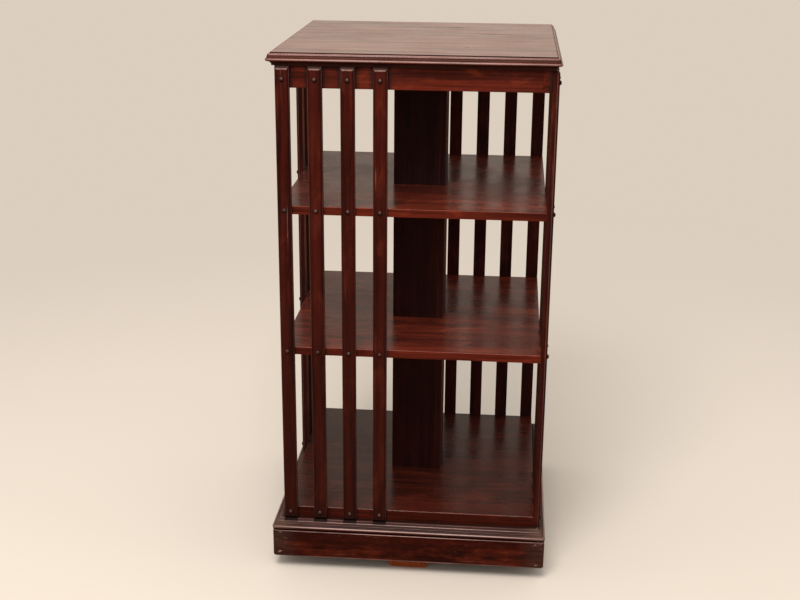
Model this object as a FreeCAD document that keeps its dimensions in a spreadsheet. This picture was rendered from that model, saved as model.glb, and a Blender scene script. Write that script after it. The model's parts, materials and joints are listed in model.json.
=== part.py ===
"""Revolving bookcase: a slatted, three-tier case that turns on a steel spindle in a cross foot.

All lengths are millimetres. The origin lies on the floor under the middle of the spindle,
+Z is up and the front face looks along -Y. The plan is a pinwheel: every piece of the front
face comes back on the right, back and left faces, turned by a quarter turn each.
"""

import FreeCAD, Part

import os
import re

import Sketcher
from FreeCAD import Placement, Rotation, Vector

doc = FreeCAD.newDocument("RevolvingBookcase")

# ---------------------------------------------------------------------------------------
# Driving dimensions
# ---------------------------------------------------------------------------------------

SIZES = {
    # heights, from the floor up
    "floor_gap": 30.0,
    "plinth_height": 60.0,
    "base_frame_thickness": 23.0,
    "bottom_shelf_thickness": 23.8,
    "lower_tier_height": 343.5,
    "shelf_thickness": 16.5,
    "middle_tier_height": 277.0,
    "upper_tier_height": 231.3,
    "frieze_height": 42.9,
    "top_thickness": 25.0,
    # widths of the square plan, and what stands out past the shelves on each side
    "shelf_width": 524.0,
    "top_overhang": 17.0,
    "base_overhang": 25.0,
    "plinth_setback": 1.0,
    "column_width": 108.0,
    # boards and rails
    "frieze_thickness": 18.0,
    "plinth_thickness": 20.0,
    "base_frame_depth": 51.0,
    "column_board_thickness": 12.0,
    "bridge_width": 120.0,
    "bridge_thickness": 22.0,
    "bearer_width": 120.0,
    "glue_block_leg": 55.0,
    "top_block_leg": 40.0,
    "top_block_height": 24.0,
    "glue_block_gap": 5.0,
    # slats
    "slat_width": 27.5,
    "slat_thickness": 13.0,
    "slat_pitch": 62.4,
    "slat_corner_inset": 14.2,
    "slat_arris": 4.0,
    "slat_end_bevel_height": 6.5,
    "slat_end_bevel_depth": 6.5,
    # domed studs that hold the slats
    "stud_head_diameter": 10.0,
    "stud_head_height": 3.8,
    "stud_shank_diameter": 3.5,
    "stud_grip": 13.0,
    "stud_hole_clearance": 0.1,
    "frieze_stud_drop": 25.1,
    "shelf_stud_drop": 6.0,
    # moulded edge of the top
    "top_step_drop": 2.0,
    "top_step_ledge": 0.8,
    "top_ovolo_radius": 4.5,
    "top_ovolo_drop": 1.2,
    "top_fillet_ledge": 1.0,
    "top_quirk_drop": 3.0,
    "top_nosing_radius": 3.0,
    "top_cove_width": 8.0,
    "top_soffit_fillet": 0.3,
    # moulded edge of the base frame
    "base_fillet_drop": 1.0,
    "base_cove_radius": 3.2,
    "base_ledge": 0.5,
    "base_nosing_drop": 0.6,
    "base_nosing_radius": 3.2,
    "base_quirk_depth": 2.3,
    "plinth_arris": 1.5,
    # cross foot
    "foot_arm_width": 81.5,
    "foot_arm_height": 48.0,
    "foot_swing_clearance": 7.0,
    "foot_arris": 5.0,
    # spindle and its bearings
    "spindle_diameter": 25.0,
    "spindle_tip_chamfer": 2.0,
    "running_clearance": 0.08,
    "flange_diameter": 110.0,
    "flange_thickness": 8.0,
    "flange_boss_diameter": 46.0,
    "flange_boss_height": 14.0,
    "bearing_plate_diameter": 104.0,
    "bearing_plate_thickness": 6.0,
    "bearing_boss_diameter": 40.0,
    "socket_side_clearance": 4.0,
    "socket_plate_thickness": 6.0,
    "socket_boss_diameter": 40.0,
    "socket_boss_height": 30.0,
    "socket_crown": 4.0,
    "spindle_way_diameter": 46.0,
    "boss_hole_clearance": 0.5,
    # countersunk wood screws that hold the iron fittings
    "screw_head_diameter": 9.0,
    "screw_shank_diameter": 4.5,
    "screw_length": 18.0,
    "screw_hole_clearance": 0.1,
    "screw_inset": 9.0,
}
SLATS_PER_FACE = 4
BASE_COVES = 3
FACES = ("front", "right", "back", "left")

sheet = doc.addObject("Spreadsheet::Sheet", "Sizes")
for row, (alias, value) in enumerate(SIZES.items(), start=1):
    sheet.set(f"A{row}", alias)
    sheet.set(f"B{row}", str(value))
    sheet.setAlias(f"B{row}", alias)
doc.recompute()

# Heights of the main joints, worked out from the sheet from the floor up.
PLINTH_TOP = "(floor_gap + plinth_height)"
BASE_TOP = f"({PLINTH_TOP} + base_frame_thickness)"
BOTTOM_SHELF_TOP = f"({BASE_TOP} + bottom_shelf_thickness)"
MIDDLE_SHELF_BOTTOM = f"({BOTTOM_SHELF_TOP} + lower_tier_height)"
MIDDLE_SHELF_TOP = f"({MIDDLE_SHELF_BOTTOM} + shelf_thickness)"
UPPER_SHELF_BOTTOM = f"({MIDDLE_SHELF_TOP} + middle_tier_height)"
UPPER_SHELF_TOP = f"({UPPER_SHELF_BOTTOM} + shelf_thickness)"
FRIEZE_BOTTOM = f"({UPPER_SHELF_TOP} + upper_tier_height)"
FRIEZE_TOP = f"({FRIEZE_BOTTOM} + frieze_height)"
BRIDGE_BOTTOM = f"({FRIEZE_TOP} - bridge_thickness)"

STUD_LEVELS = {
    "frieze": f"({FRIEZE_TOP} - frieze_stud_drop)",
    "upper_shelf": f"({UPPER_SHELF_TOP} - shelf_stud_drop)",
    "middle_shelf": f"({MIDDLE_SHELF_TOP} - shelf_stud_drop)",
    "bottom_shelf": f"({BOTTOM_SHELF_TOP} - shelf_stud_drop)",
}
FIRST_SLAT = "(slat_corner_inset - shelf_width / 2)"

# Half widths of the square plan at each level.
TOP_HALF = "(shelf_width / 2 + top_overhang)"
BASE_HALF = "(shelf_width / 2 + base_overhang)"
PLINTH_HALF = f"({BASE_HALF} - plinth_setback)"
PLINTH_INSIDE = f"({PLINTH_HALF} - plinth_thickness)"
COLUMN_INSIDE = "(column_width / 2 - column_board_thickness)"
FOOT_REACH = f"sqrt(({PLINTH_INSIDE} - foot_swing_clearance)^2 - (foot_arm_width / 2)^2)"

# Holes, and the circles that the screws stand on.
STUD_HOLE = "(stud_shank_diameter + 2 * stud_hole_clearance)"
PILOT_DEPTH = "(stud_grip + stud_hole_clearance)"
SCREW_HOLE = "(screw_shank_diameter + 2 * screw_hole_clearance)"
BEARING_BORE = "(spindle_diameter + 2 * running_clearance)"
SOCKET_PLATE_RADIUS = f"({COLUMN_INSIDE} - socket_side_clearance)"
SOCKET_SCREW_CIRCLE = f"({SOCKET_PLATE_RADIUS} - screw_inset)"
BEARING_SCREW_CIRCLE = "(bearing_plate_diameter / 2 - screw_inset)"
FLANGE_SCREW_CIRCLE = "(flange_diameter / 2 - screw_inset)"
SPINDLE_TOP = f"({BRIDGE_BOTTOM} - socket_crown)"


# ---------------------------------------------------------------------------------------
# Helpers that draw and place
# ---------------------------------------------------------------------------------------


def expression(text):
    """Turns the sheet's aliases in a formula into references to its cells."""
    for word in set(re.findall("[a-z_]+", text)) & set(SIZES):
        text = re.sub(rf"\b{word}\b", f"Sizes.{word}", text)
    return text


def number(text):
    """The present value of a formula, for the first guess of a sketch."""
    return float(sheet.evalExpression(expression(text)))


def bind(item, **formulas):
    """Binds properties of an object to formulas of the sheet."""
    for name, text in formulas.items():
        item.setExpression(name, expression(text))


def move(item, x="0", y="0", z="0", face="front"):
    """Places an object by formulas on the front face, then turns it to the face named."""
    turns = FACES.index(face)
    turned = ((x, y), (f"-({y})", x), (f"-({x})", f"-({y})"), (y, f"-({x})"))[turns]
    item.Placement = Placement(Vector(), Rotation(Vector(0, 0, 1), 90 * turns))
    item.setExpression("Placement.Base.x", expression(turned[0]))
    item.setExpression("Placement.Base.y", expression(turned[1]))
    item.setExpression("Placement.Base.z", expression(z))


def new_body(label):
    body = doc.addObject("PartDesign::Body", label)
    body.Label = label
    body.AllowCompound = True
    return body


def origin_part(body, role):
    return next(part for part in body.Origin.OriginFeatures if part.Role == role)


def new_sketch(body, plane, offset="0"):
    """A sketch on one of the body's own origin planes, moved along the plane's normal."""
    sketch = body.newObject("Sketcher::SketchObject", f"{body.Name}_outline")
    sketch.AttachmentSupport = [(origin_part(body, plane), "")]
    sketch.MapMode = "FlatFace"
    sketch.setExpression("AttachmentOffset.Base.z", expression(offset))
    return sketch


def set_point(sketch, geometry, end, x, y):
    """Holds one end of a line, or a circle's centre, at two formulas."""
    for kind, text in (("DistanceX", x), ("DistanceY", y)):
        index = sketch.addConstraint(Sketcher.Constraint(kind, geometry, end, number(text)))
        sketch.setExpression(f"Constraints[{index}]", expression(text))


def draw_polygon(sketch, corners):
    """Closes an outline of straight lines through the corners, each two formulas."""
    draw_outline(sketch, [("line", x, y) for x, y in corners])


def draw_outline(sketch, steps):
    """Closes an outline of steps, each a line or an arc that ends at two formulas.

    The outline runs anticlockwise. A "round" step is an arc that bulges out of it and a "hollow"
    one an arc that bites into it. The fourth item says whether the arc's centre lies straight
    above or below its start, "Vertical", or beside it, "Horizontal".
    """
    ends = [Vector(number(step[1]), number(step[2]), 0) for step in steps]
    order = []
    for index, step in enumerate(steps):
        start, end = ends[index - 1], ends[index]
        if step[0] == "line":
            sketch.addGeometry(Part.LineSegment(start, end), False)
            order.append((1, 2))
            continue
        centre = arc_centre(start, end, step[3])
        circle = Part.Circle(centre, Vector(0, 0, 1), (start - centre).Length)
        order.append((1, 2) if step[0] == "round" else (2, 1))
        first, last = (start, end) if step[0] == "round" else (end, start)
        sketch.addGeometry(Part.ArcOfCircle(circle, circle.parameter(first), circle.parameter(last)), False)
    for index, step in enumerate(steps):
        previous = (index - 1) % len(steps)
        joint = Sketcher.Constraint("Coincident", previous, order[previous][1], index, order[index][0])
        sketch.addConstraint(joint)
        set_point(sketch, index, order[index][1], step[1], step[2])
        if step[0] != "line":
            sketch.addConstraint(Sketcher.Constraint(step[3], index, 3, index, order[index][0]))


def arc_centre(start, end, side):
    """The centre, straight above or beside the start, of a circle through both points."""
    run, rise = end.x - start.x, end.y - start.y
    if side == "Vertical":
        return Vector(start.x, start.y + (run * run + rise * rise) / (2 * rise), 0)
    return Vector(start.x + (run * run + rise * rise) / (2 * run), start.y, 0)


def draw_rectangle(sketch, low_x, low_y, high_x, high_y):
    draw_polygon(sketch, ((low_x, low_y), (high_x, low_y), (high_x, high_y), (low_x, high_y)))


def draw_circle(sketch, x, y, diameter):
    """A circle added to what the sketch already holds."""
    centre = Vector(number(x), number(y), 0)
    index = sketch.addGeometry(Part.Circle(centre, Vector(0, 0, 1), number(diameter) / 2), False)
    set_point(sketch, index, 3, x, y)
    size = sketch.addConstraint(Sketcher.Constraint("Diameter", index, number(diameter)))
    sketch.setExpression(f"Constraints[{size}]", expression(diameter))


def pad(body, sketch, length, both_ways=False):
    feature = body.newObject("PartDesign::Pad", f"{body.Name}_pad")
    feature.Profile = sketch
    feature.Midplane = both_ways
    bind(feature, Length=length)
    body.Tip = feature
    return feature


def pocket(body, sketch, depth=None, along_normal=False):
    """Cuts to a depth, or right through both ways where none is given."""
    feature = body.newObject("PartDesign::Pocket", f"{body.Name}_pocket")
    feature.Profile = sketch
    feature.Reversed = along_normal
    if depth is None:
        feature.Type = "ThroughAll"
        feature.Midplane = True
    else:
        bind(feature, Length=depth)
    body.Tip = feature
    return feature


def turn(body, sketch, axis_x="0", kind="Revolution"):
    """Revolves a sketch a full turn about its own upright line at a distance from its middle."""
    foot = Vector(number(axis_x), 0, 0)
    line = sketch.addGeometry(Part.LineSegment(foot, foot + Vector(0, 1, 0)), True)
    set_point(sketch, line, 1, axis_x, "0")
    sketch.addConstraint(Sketcher.Constraint("Vertical", line))
    feature = body.newObject(f"PartDesign::{kind}", f"{body.Name}_turning")
    feature.Profile = sketch
    feature.ReferenceAxis = (sketch, ["Axis0"])
    feature.Angle = 360
    body.Tip = feature
    return feature


def around(body, feature, copies=4):
    """Repeats a feature about the body's Z axis."""
    pattern = body.newObject("PartDesign::PolarPattern", f"{body.Name}_around")
    pattern.Originals = [feature]
    pattern.Axis = (origin_part(body, "Z_Axis"), [""])
    pattern.Angle = 360
    pattern.Occurrences = copies
    body.Tip = pattern
    return pattern


def slat_centre(index):
    """Where the middle of a slat lies along its face."""
    return f"({FIRST_SLAT} + {index} * slat_pitch)"


# ---------------------------------------------------------------------------------------
# The case: shelves, frieze and top
# ---------------------------------------------------------------------------------------


def drill_stud_holes(body, level, face_distance):
    """Pilot holes for one row of studs in the front edge of a board."""
    sketch = new_sketch(body, "XZ_Plane", face_distance)
    for index in range(SLATS_PER_FACE):
        draw_circle(sketch, slat_centre(index), level, STUD_HOLE)
    return pocket(body, sketch, PILOT_DEPTH)


def make_shelf(label, bottom, thickness, opening):
    """A square shelf with its opening for the column and stud holes in all four edges."""
    body = new_body(label)
    outline = new_sketch(body, "XY_Plane")
    draw_rectangle(outline, "-shelf_width / 2", "-shelf_width / 2", "shelf_width / 2", "shelf_width / 2")
    pad(body, outline, thickness)
    way = new_sketch(body, "XY_Plane")
    if opening == "column":
        half = "column_width / 2"
        draw_rectangle(way, f"-{half}", f"-{half}", half, half)
    else:
        draw_circle(way, "0", "0", "spindle_way_diameter")
    pocket(body, way)
    around(body, drill_stud_holes(body, f"{thickness} - shelf_stud_drop", "shelf_width / 2"))
    move(body, z=bottom)
    return body


def make_frieze_rail(face):
    """A rail under the top: it starts flush at its left corner and butts on the next rail."""
    body = new_body(f"frieze_{face}")
    outline = new_sketch(body, "XY_Plane")
    draw_rectangle(
        outline, "-shelf_width / 2", "-shelf_width / 2", "shelf_width / 2 - frieze_thickness",
        "frieze_thickness - shelf_width / 2",
    )
    pad(body, outline, "frieze_height")
    drill_stud_holes(body, "frieze_height - frieze_stud_drop", "shelf_width / 2")
    move(body, z=FRIEZE_BOTTOM, face=face)
    return body


def top_edge():
    """The moulded right-hand edge of the top, from its underside up, as steps of an outline."""
    rim = f"({TOP_HALF} - top_nosing_radius)"
    cove_end = f"({rim} - top_cove_width)"
    ovolo_end = f"({rim} - top_fillet_ledge)"
    ovolo_start = f"({ovolo_end} - top_ovolo_radius)"
    step = f"({ovolo_start} - top_step_ledge)"
    ovolo_top = "(top_thickness - top_step_drop)"
    ovolo_foot = f"({ovolo_top} - top_ovolo_radius)"
    fillet = f"({ovolo_foot} - top_ovolo_drop)"
    nosing_top = f"({fillet} - top_quirk_drop)"
    nosing_foot = f"({nosing_top} - 2 * top_nosing_radius)"
    return (
        ("line", cove_end, "0"),
        ("line", cove_end, "top_soffit_fillet"),
        ("hollow", rim, nosing_foot, "Horizontal"),
        ("round", rim, nosing_top, "Vertical"),
        ("line", rim, fillet),
        ("line", ovolo_end, fillet),
        ("line", ovolo_end, ovolo_foot),
        ("round", ovolo_start, ovolo_top, "Horizontal"),
        ("line", step, ovolo_top),
        ("line", step, "top_thickness"),
    )


def mirrored(steps):
    """The same steps on the left-hand side, taken back from the top down."""
    other = {"Vertical": "Horizontal", "Horizontal": "Vertical"}
    flipped = []
    for index in range(len(steps) - 1, -1, -1):
        x, y = steps[index][1:3]
        arrives_by = steps[index + 1] if index + 1 < len(steps) else ("line",)
        if arrives_by[0] == "line":
            flipped.append(("line", f"-{x}", y))
        else:
            half_circle = steps[index][1] == arrives_by[1]
            side = arrives_by[3] if half_circle else other[arrives_by[3]]
            flipped.append((arrives_by[0], f"-{x}", y, side))
    return tuple(flipped)


def make_top():
    """The top: where two moulded planks cross at right angles, so that its corners are mitred."""
    planks = []
    for plane in ("XZ_Plane", "YZ_Plane"):
        plank = new_body(f"top_profile_{plane[:2].lower()}")
        sketch = new_sketch(plank, plane)
        draw_outline(sketch, top_edge() + mirrored(top_edge()))
        pad(plank, sketch, f"2 * {TOP_HALF}", both_ways=True)
        planks.append(plank)
    top = doc.addObject("Part::Common", "top_board")
    top.Label = "top_board"
    top.Base, top.Tool = planks
    move(top, z=FRIEZE_TOP)
    return top


# ---------------------------------------------------------------------------------------
# The case: slats and studs
# ---------------------------------------------------------------------------------------


def make_slat(face, index):
    """A slat with chamfered outer arrises, bevelled ends and a hole at each stud."""
    body = new_body(f"slat_{face}_{index + 1}")
    plan = new_sketch(body, "XY_Plane")
    half, outer = "slat_width / 2", "-slat_thickness"
    draw_polygon(plan, (
        (f"-{half}", "0"),
        (f"-{half}", f"{outer} + slat_arris"),
        (f"-{half} + slat_arris", outer),
        (f"{half} - slat_arris", outer),
        (half, f"{outer} + slat_arris"),
        (half, "0"),
    ))
    length = f"({FRIEZE_TOP} - {BASE_TOP})"
    pad(body, plan, length)
    ends = new_sketch(body, "YZ_Plane")
    shoulder = f"{outer} + slat_end_bevel_depth"
    draw_polygon(ends, ((outer, "0"), (shoulder, "0"), (outer, "slat_end_bevel_height")))
    pocket(body, ends)
    top = new_sketch(body, "YZ_Plane")
    draw_polygon(top, ((outer, length), (outer, f"{length} - slat_end_bevel_height"), (shoulder, length)))
    pocket(body, top)
    holes = new_sketch(body, "XZ_Plane")
    for level in STUD_LEVELS.values():
        draw_circle(holes, "0", f"{level} - {BASE_TOP}", STUD_HOLE)
    pocket(body, holes)
    move(body, slat_centre(index), "-shelf_width / 2", BASE_TOP, face)
    return body


def make_studs(place, level):
    """The domed studs of one level: a row of four along a face, repeated on all four faces."""
    body = new_body(f"studs_{place}")
    sketch = new_sketch(body, "XY_Plane")
    seat = "-(shelf_width / 2 + slat_thickness)"
    shank_end = f"{seat} + slat_thickness + stud_grip"
    first = slat_centre(0)
    rim = f"{first} + stud_head_diameter / 2"
    shank = f"{first} + stud_shank_diameter / 2"
    crown = f"{seat} - stud_head_height"
    draw_outline(sketch, (
        ("line", first, crown),
        ("round", rim, seat, "Vertical"),
        ("line", shank, seat),
        ("line", shank, shank_end),
        ("line", first, shank_end),
    ))
    head = turn(body, sketch, first)
    row = body.newObject("PartDesign::LinearPattern", f"{body.Name}_row")
    row.Direction = (origin_part(body, "X_Axis"), [""])
    row.Occurrences = SLATS_PER_FACE
    bind(row, Length=f"{SLATS_PER_FACE - 1} * slat_pitch")
    turns = body.newObject("PartDesign::PolarPattern", f"{body.Name}_faces")
    turns.Axis = (origin_part(body, "Z_Axis"), [""])
    turns.Angle = 360
    turns.Occurrences = len(FACES)
    pattern = body.newObject("PartDesign::MultiTransform", f"{body.Name}_pattern")
    pattern.Originals = [head]
    pattern.Transformations = [row, turns]
    body.Tip = pattern
    move(body, z=level)
    return body


# ---------------------------------------------------------------------------------------
# The case: column, plinth and inner blocks
# ---------------------------------------------------------------------------------------


def make_column_board(face):
    """One side of the hollow middle column: it butts on the next board, pinwheel fashion."""
    board = doc.addObject("Part::Box", f"column_{face}")
    board.Label = f"column_{face}"
    bind(
        board,
        Length="column_width - column_board_thickness",
        Width="column_board_thickness",
        Height=f"{BRIDGE_BOTTOM} - {BOTTOM_SHELF_TOP}",
    )
    move(board, "-column_width / 2", "-column_width / 2", BOTTOM_SHELF_TOP, face)
    return board


def make_mitred_rail(label, face, bottom, section, reach):
    """A moulded rail along one side, its section cut to mitres at both corners.

    The section is drawn looking along +X: its first coordinate is the distance from the
    middle of the plan, negative outwards, and its second the height above the bottom.
    """
    body = new_body(label)
    sketch = new_sketch(body, "YZ_Plane")
    draw_outline(sketch, section)
    pad(body, sketch, f"2 * {reach}", both_ways=True)
    for side in ("", "-"):
        mitre = new_sketch(body, "XY_Plane")
        end = f"{side}(2 * {reach})"
        draw_polygon(mitre, (("0", "0"), (end, f"-2 * {reach}"), (end, "0")))
        pocket(body, mitre)
    move(body, z=bottom, face=face)
    return body


def base_frame_section():
    """The moulding between plinth and case: a stair of small coves above a rounded nosing."""
    rim = f"({BASE_HALF} - base_nosing_radius)"
    inner = f"({BASE_HALF} - base_frame_depth)"
    quirk = f"({rim} - base_quirk_depth)"
    run, rise = "(base_cove_radius + base_ledge)", "(base_fillet_drop + base_cove_radius)"
    flat_edge = f"({rim} - {BASE_COVES} * {run})"
    steps = [
        ("line", f"-{quirk}", "0"),
        ("line", f"-{inner}", "0"),
        ("line", f"-{inner}", "base_frame_thickness"),
        ("line", f"-{flat_edge}", "base_frame_thickness"),
    ]
    for cove in range(BASE_COVES):
        edge, level = f"({flat_edge} + {cove} * {run})", f"(base_frame_thickness - {cove} * {rise})"
        steps += [
            ("line", f"-{edge}", f"{level} - base_fillet_drop"),
            ("hollow", f"-({edge} + base_cove_radius)", f"{level} - {rise}", "Horizontal"),
            ("line", f"-({edge} + {run})", f"{level} - {rise}"),
        ]
    nosing_top = f"(base_frame_thickness - {BASE_COVES} * {rise} - base_nosing_drop)"
    nosing_foot = f"({nosing_top} - 2 * base_nosing_radius)"
    return steps + [
        ("line", f"-{rim}", nosing_top),
        ("round", f"-{rim}", nosing_foot, "Vertical"),
        ("line", f"-{quirk}", nosing_foot),
    ]


def plinth_section():
    """The plain fascia, with its upper and lower outer arrises eased."""
    return (
        ("round", f"-{PLINTH_HALF} + plinth_arris", "0", "Horizontal"),
        ("line", f"-{PLINTH_INSIDE}", "0"),
        ("line", f"-{PLINTH_INSIDE}", "plinth_height"),
        ("line", f"-{PLINTH_HALF} + plinth_arris", "plinth_height"),
        ("round", f"-{PLINTH_HALF}", "plinth_height - plinth_arris", "Vertical"),
        ("line", f"-{PLINTH_HALF}", "plinth_arris"),
    )


def make_corner_blocks(label, corner, leg, height, bottom):
    """Four three-cornered glue blocks, one in each inner corner of a frame."""
    body = new_body(label)
    sketch = new_sketch(body, "XY_Plane")
    draw_polygon(sketch, ((corner, corner), (f"{corner} - {leg}", corner), (corner, f"{corner} - {leg}")))
    around(body, pad(body, sketch, height))
    move(body, z=bottom)
    return body


def make_cross_board(label, length, width, thickness, bottom):
    """A plain board across the middle of a frame."""
    body = new_body(label)
    sketch = new_sketch(body, "XY_Plane")
    draw_rectangle(sketch, f"-({length}) / 2", f"-({width}) / 2", f"({length}) / 2", f"({width}) / 2")
    pad(body, sketch, thickness)
    move(body, z=bottom)
    return body


def drill_pilot_holes(body, circle_radius, depth, places=("0", "90", "180", "270"), level=None):
    """Pilot holes for screws round the spindle, up from the underside or down from a level."""
    sketch = new_sketch(body, "XY_Plane", level or "0")
    for angle in places:
        x, y = f"{circle_radius} * cos({angle} deg)", f"{circle_radius} * sin({angle} deg)"
        draw_circle(sketch, x, y, SCREW_HOLE)
    return pocket(body, sketch, depth, along_normal=level is None)


def make_pivot_bridge():
    """The board under the top that the case hangs from."""
    length = "shelf_width - 2 * frieze_thickness"
    board = make_cross_board("pivot_bridge", length, "bridge_width", "bridge_thickness", BRIDGE_BOTTOM)
    drill_pilot_holes(board, SOCKET_SCREW_CIRCLE, pilot_depth("socket_plate_thickness"))
    return board


def make_lower_bearer():
    """The board under the bottom shelf that holds the lower bearing."""
    length = f"2 * ({BASE_HALF} - base_frame_depth)"
    board = make_cross_board("lower_bearer", length, "bearer_width", "base_frame_thickness", PLINTH_TOP)
    way = new_sketch(board, "XY_Plane")
    draw_circle(way, "0", "0", "bearing_boss_diameter + 2 * boss_hole_clearance")
    pocket(board, way)
    drill_pilot_holes(board, BEARING_SCREW_CIRCLE, pilot_depth("bearing_plate_thickness"))
    return board


# ---------------------------------------------------------------------------------------
# The spindle, its iron fittings and their screws
# ---------------------------------------------------------------------------------------


def pilot_depth(plate_thickness):
    """How deep a screw through a plate goes into the wood behind it."""
    return f"(screw_length - {plate_thickness} + screw_hole_clearance)"


def make_fitting(label, outline, circle_radius, plate_face, into_plate, bottom):
    """A turned iron fitting with four countersunk screw holes.

    plate_face is the height of the face where the screw heads lie, and into_plate is the
    sign of the way the screws point.
    """
    body = new_body(label)
    sketch = new_sketch(body, "XZ_Plane")
    draw_polygon(sketch, outline)
    turn(body, sketch)
    hole = new_sketch(body, "XZ_Plane")
    draw_countersunk(hole, circle_radius, plate_face, into_plate, "screw_hole_clearance")
    around(body, turn(body, hole, circle_radius, "Groove"))
    move(body, z=bottom)
    return body


def draw_countersunk(sketch, circle_radius, face, way, clearance):
    """Half the outline of a countersunk screw, or of its hole where there is a clearance."""
    head = f"(screw_head_diameter / 2 + {clearance})"
    shank = f"(screw_shank_diameter / 2 + {clearance})"
    cone_foot = f"{face} {way} ({head} - {shank})"
    draw_polygon(sketch, (
        (circle_radius, face),
        (f"{circle_radius} + {head}", face),
        (f"{circle_radius} + {shank}", cone_foot),
        (f"{circle_radius} + {shank}", f"{face} {way} (screw_length - {shank})"),
        (circle_radius, f"{face} {way} screw_length"),
    ))


def make_screws(label, circle_radius, way, head_level):
    """Four countersunk wood screws round the spindle."""
    body = new_body(label)
    sketch = new_sketch(body, "XZ_Plane")
    draw_countersunk(sketch, circle_radius, "0", way, "0")
    around(body, turn(body, sketch, circle_radius))
    move(body, z=head_level)
    return body


def make_upper_socket():
    """The closed cup under the bridge: its crown rests on the spindle's end."""
    bore, boss, plate = f"{BEARING_BORE} / 2", "socket_boss_diameter / 2", SOCKET_PLATE_RADIUS
    shoulder, height = "socket_boss_height", "(socket_boss_height + socket_plate_thickness)"
    crown = f"{height} - socket_crown"
    outline = (
        (bore, "0"), (boss, "0"), (boss, shoulder), (plate, shoulder),
        (plate, height), ("0", height), ("0", crown), (bore, crown),
    )
    bottom = f"{BRIDGE_BOTTOM} - {height}"
    return make_fitting("upper_socket", outline, SOCKET_SCREW_CIRCLE, shoulder, "+", bottom)


def make_lower_bearing():
    """The plate and boss under the bearer that steady the case on the spindle."""
    bore, boss, plate = f"{BEARING_BORE} / 2", "bearing_boss_diameter / 2", "bearing_plate_diameter / 2"
    height = "bearing_plate_thickness + base_frame_thickness"
    outline = (
        (bore, "0"), (plate, "0"), (plate, "bearing_plate_thickness"), (boss, "bearing_plate_thickness"),
        (boss, height), (bore, height),
    )
    bottom = f"{PLINTH_TOP} - bearing_plate_thickness"
    return make_fitting("lower_bearing", outline, BEARING_SCREW_CIRCLE, "0", "+", bottom)


def make_foot_flange():
    """The flange on the cross foot that holds the spindle upright."""
    bore, boss, plate = f"{BEARING_BORE} / 2", "flange_boss_diameter / 2", "flange_diameter / 2"
    height = "flange_thickness + flange_boss_height"
    outline = (
        (bore, "0"), (plate, "0"), (plate, "flange_thickness"), (boss, "flange_thickness"),
        (boss, height), (bore, height),
    )
    face = "flange_thickness"
    return make_fitting("foot_flange", outline, FLANGE_SCREW_CIRCLE, face, "-", "foot_arm_height")


def make_spindle():
    """The steel post, from the foot's top to the crown of the upper socket."""
    body = new_body("spindle")
    sketch = new_sketch(body, "XZ_Plane")
    length, radius = f"({SPINDLE_TOP} - foot_arm_height)", "spindle_diameter / 2"
    draw_polygon(sketch, (
        ("0", "0"), (radius, "0"), (radius, f"{length} - spindle_tip_chamfer"),
        (f"{radius} - spindle_tip_chamfer", length), ("0", length),
    ))
    turn(body, sketch)
    move(body, z="foot_arm_height")
    return body


def make_foot_arm(label, face, lap_bottom, lap_top):
    """One beam of the cross foot, halved over or under the other where they cross."""
    body = new_body(label)
    section = new_sketch(body, "YZ_Plane")
    half, height, ease = "foot_arm_width / 2", "foot_arm_height", "foot_arris"
    draw_polygon(section, (
        (f"{ease} - {half}", "0"), (f"{half} - {ease}", "0"), (half, ease), (half, height),
        (f"-{half}", height), (f"-{half}", ease),
    ))
    pad(body, section, f"2 * {FOOT_REACH}", both_ways=True)
    lap = new_sketch(body, "XZ_Plane")
    draw_rectangle(lap, f"-{half}", lap_bottom, half, lap_top)
    pocket(body, lap)
    depth = pilot_depth("flange_thickness")
    drill_pilot_holes(body, FLANGE_SCREW_CIRCLE, depth, ("0", "180"), "foot_arm_height")
    move(body, face=face)
    return body


# ---------------------------------------------------------------------------------------
# The whole bookcase
# ---------------------------------------------------------------------------------------


def make_case():
    """Everything that turns."""
    yield make_top()
    yield make_shelf("shelf_upper", UPPER_SHELF_BOTTOM, "shelf_thickness", "column")
    yield make_shelf("shelf_middle", MIDDLE_SHELF_BOTTOM, "shelf_thickness", "column")
    yield make_shelf("shelf_bottom", BASE_TOP, "bottom_shelf_thickness", "spindle")
    for face in FACES:
        yield make_frieze_rail(face)
        yield make_column_board(face)
        for index in range(SLATS_PER_FACE):
            yield make_slat(face, index)
        yield make_mitred_rail(f"base_moulding_{face}", face, PLINTH_TOP, base_frame_section(), BASE_HALF)
        yield make_mitred_rail(f"plinth_{face}", face, "floor_gap", plinth_section(), PLINTH_HALF)
    for place, level in STUD_LEVELS.items():
        yield make_studs(place, level)
    yield make_corner_blocks(
        "plinth_corner_blocks", PLINTH_INSIDE, "glue_block_leg",
        "plinth_height - glue_block_gap", "floor_gap + glue_block_gap",
    )
    yield make_corner_blocks(
        "top_corner_blocks", "(shelf_width / 2 - frieze_thickness)", "top_block_leg",
        "top_block_height", f"{FRIEZE_TOP} - top_block_height",
    )
    yield make_pivot_bridge()
    yield make_lower_bearer()
    yield make_upper_socket()
    yield make_lower_bearing()
    socket_face = f"{BRIDGE_BOTTOM} - socket_plate_thickness"
    bearing_face = f"{PLINTH_TOP} - bearing_plate_thickness"
    yield make_screws("upper_socket_screws", SOCKET_SCREW_CIRCLE, "+", socket_face)
    yield make_screws("lower_bearing_screws", BEARING_SCREW_CIRCLE, "+", bearing_face)


def make_foot():
    """Everything that stands still."""
    yield make_foot_arm("foot_arm_x", "front", "foot_arm_height / 2", "foot_arm_height")
    yield make_foot_arm("foot_arm_y", "right", "0", "foot_arm_height / 2")
    yield make_foot_flange()
    yield make_screws("foot_flange_screws", FLANGE_SCREW_CIRCLE, "-", "foot_arm_height + flange_thickness")
    yield make_spindle()


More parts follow.
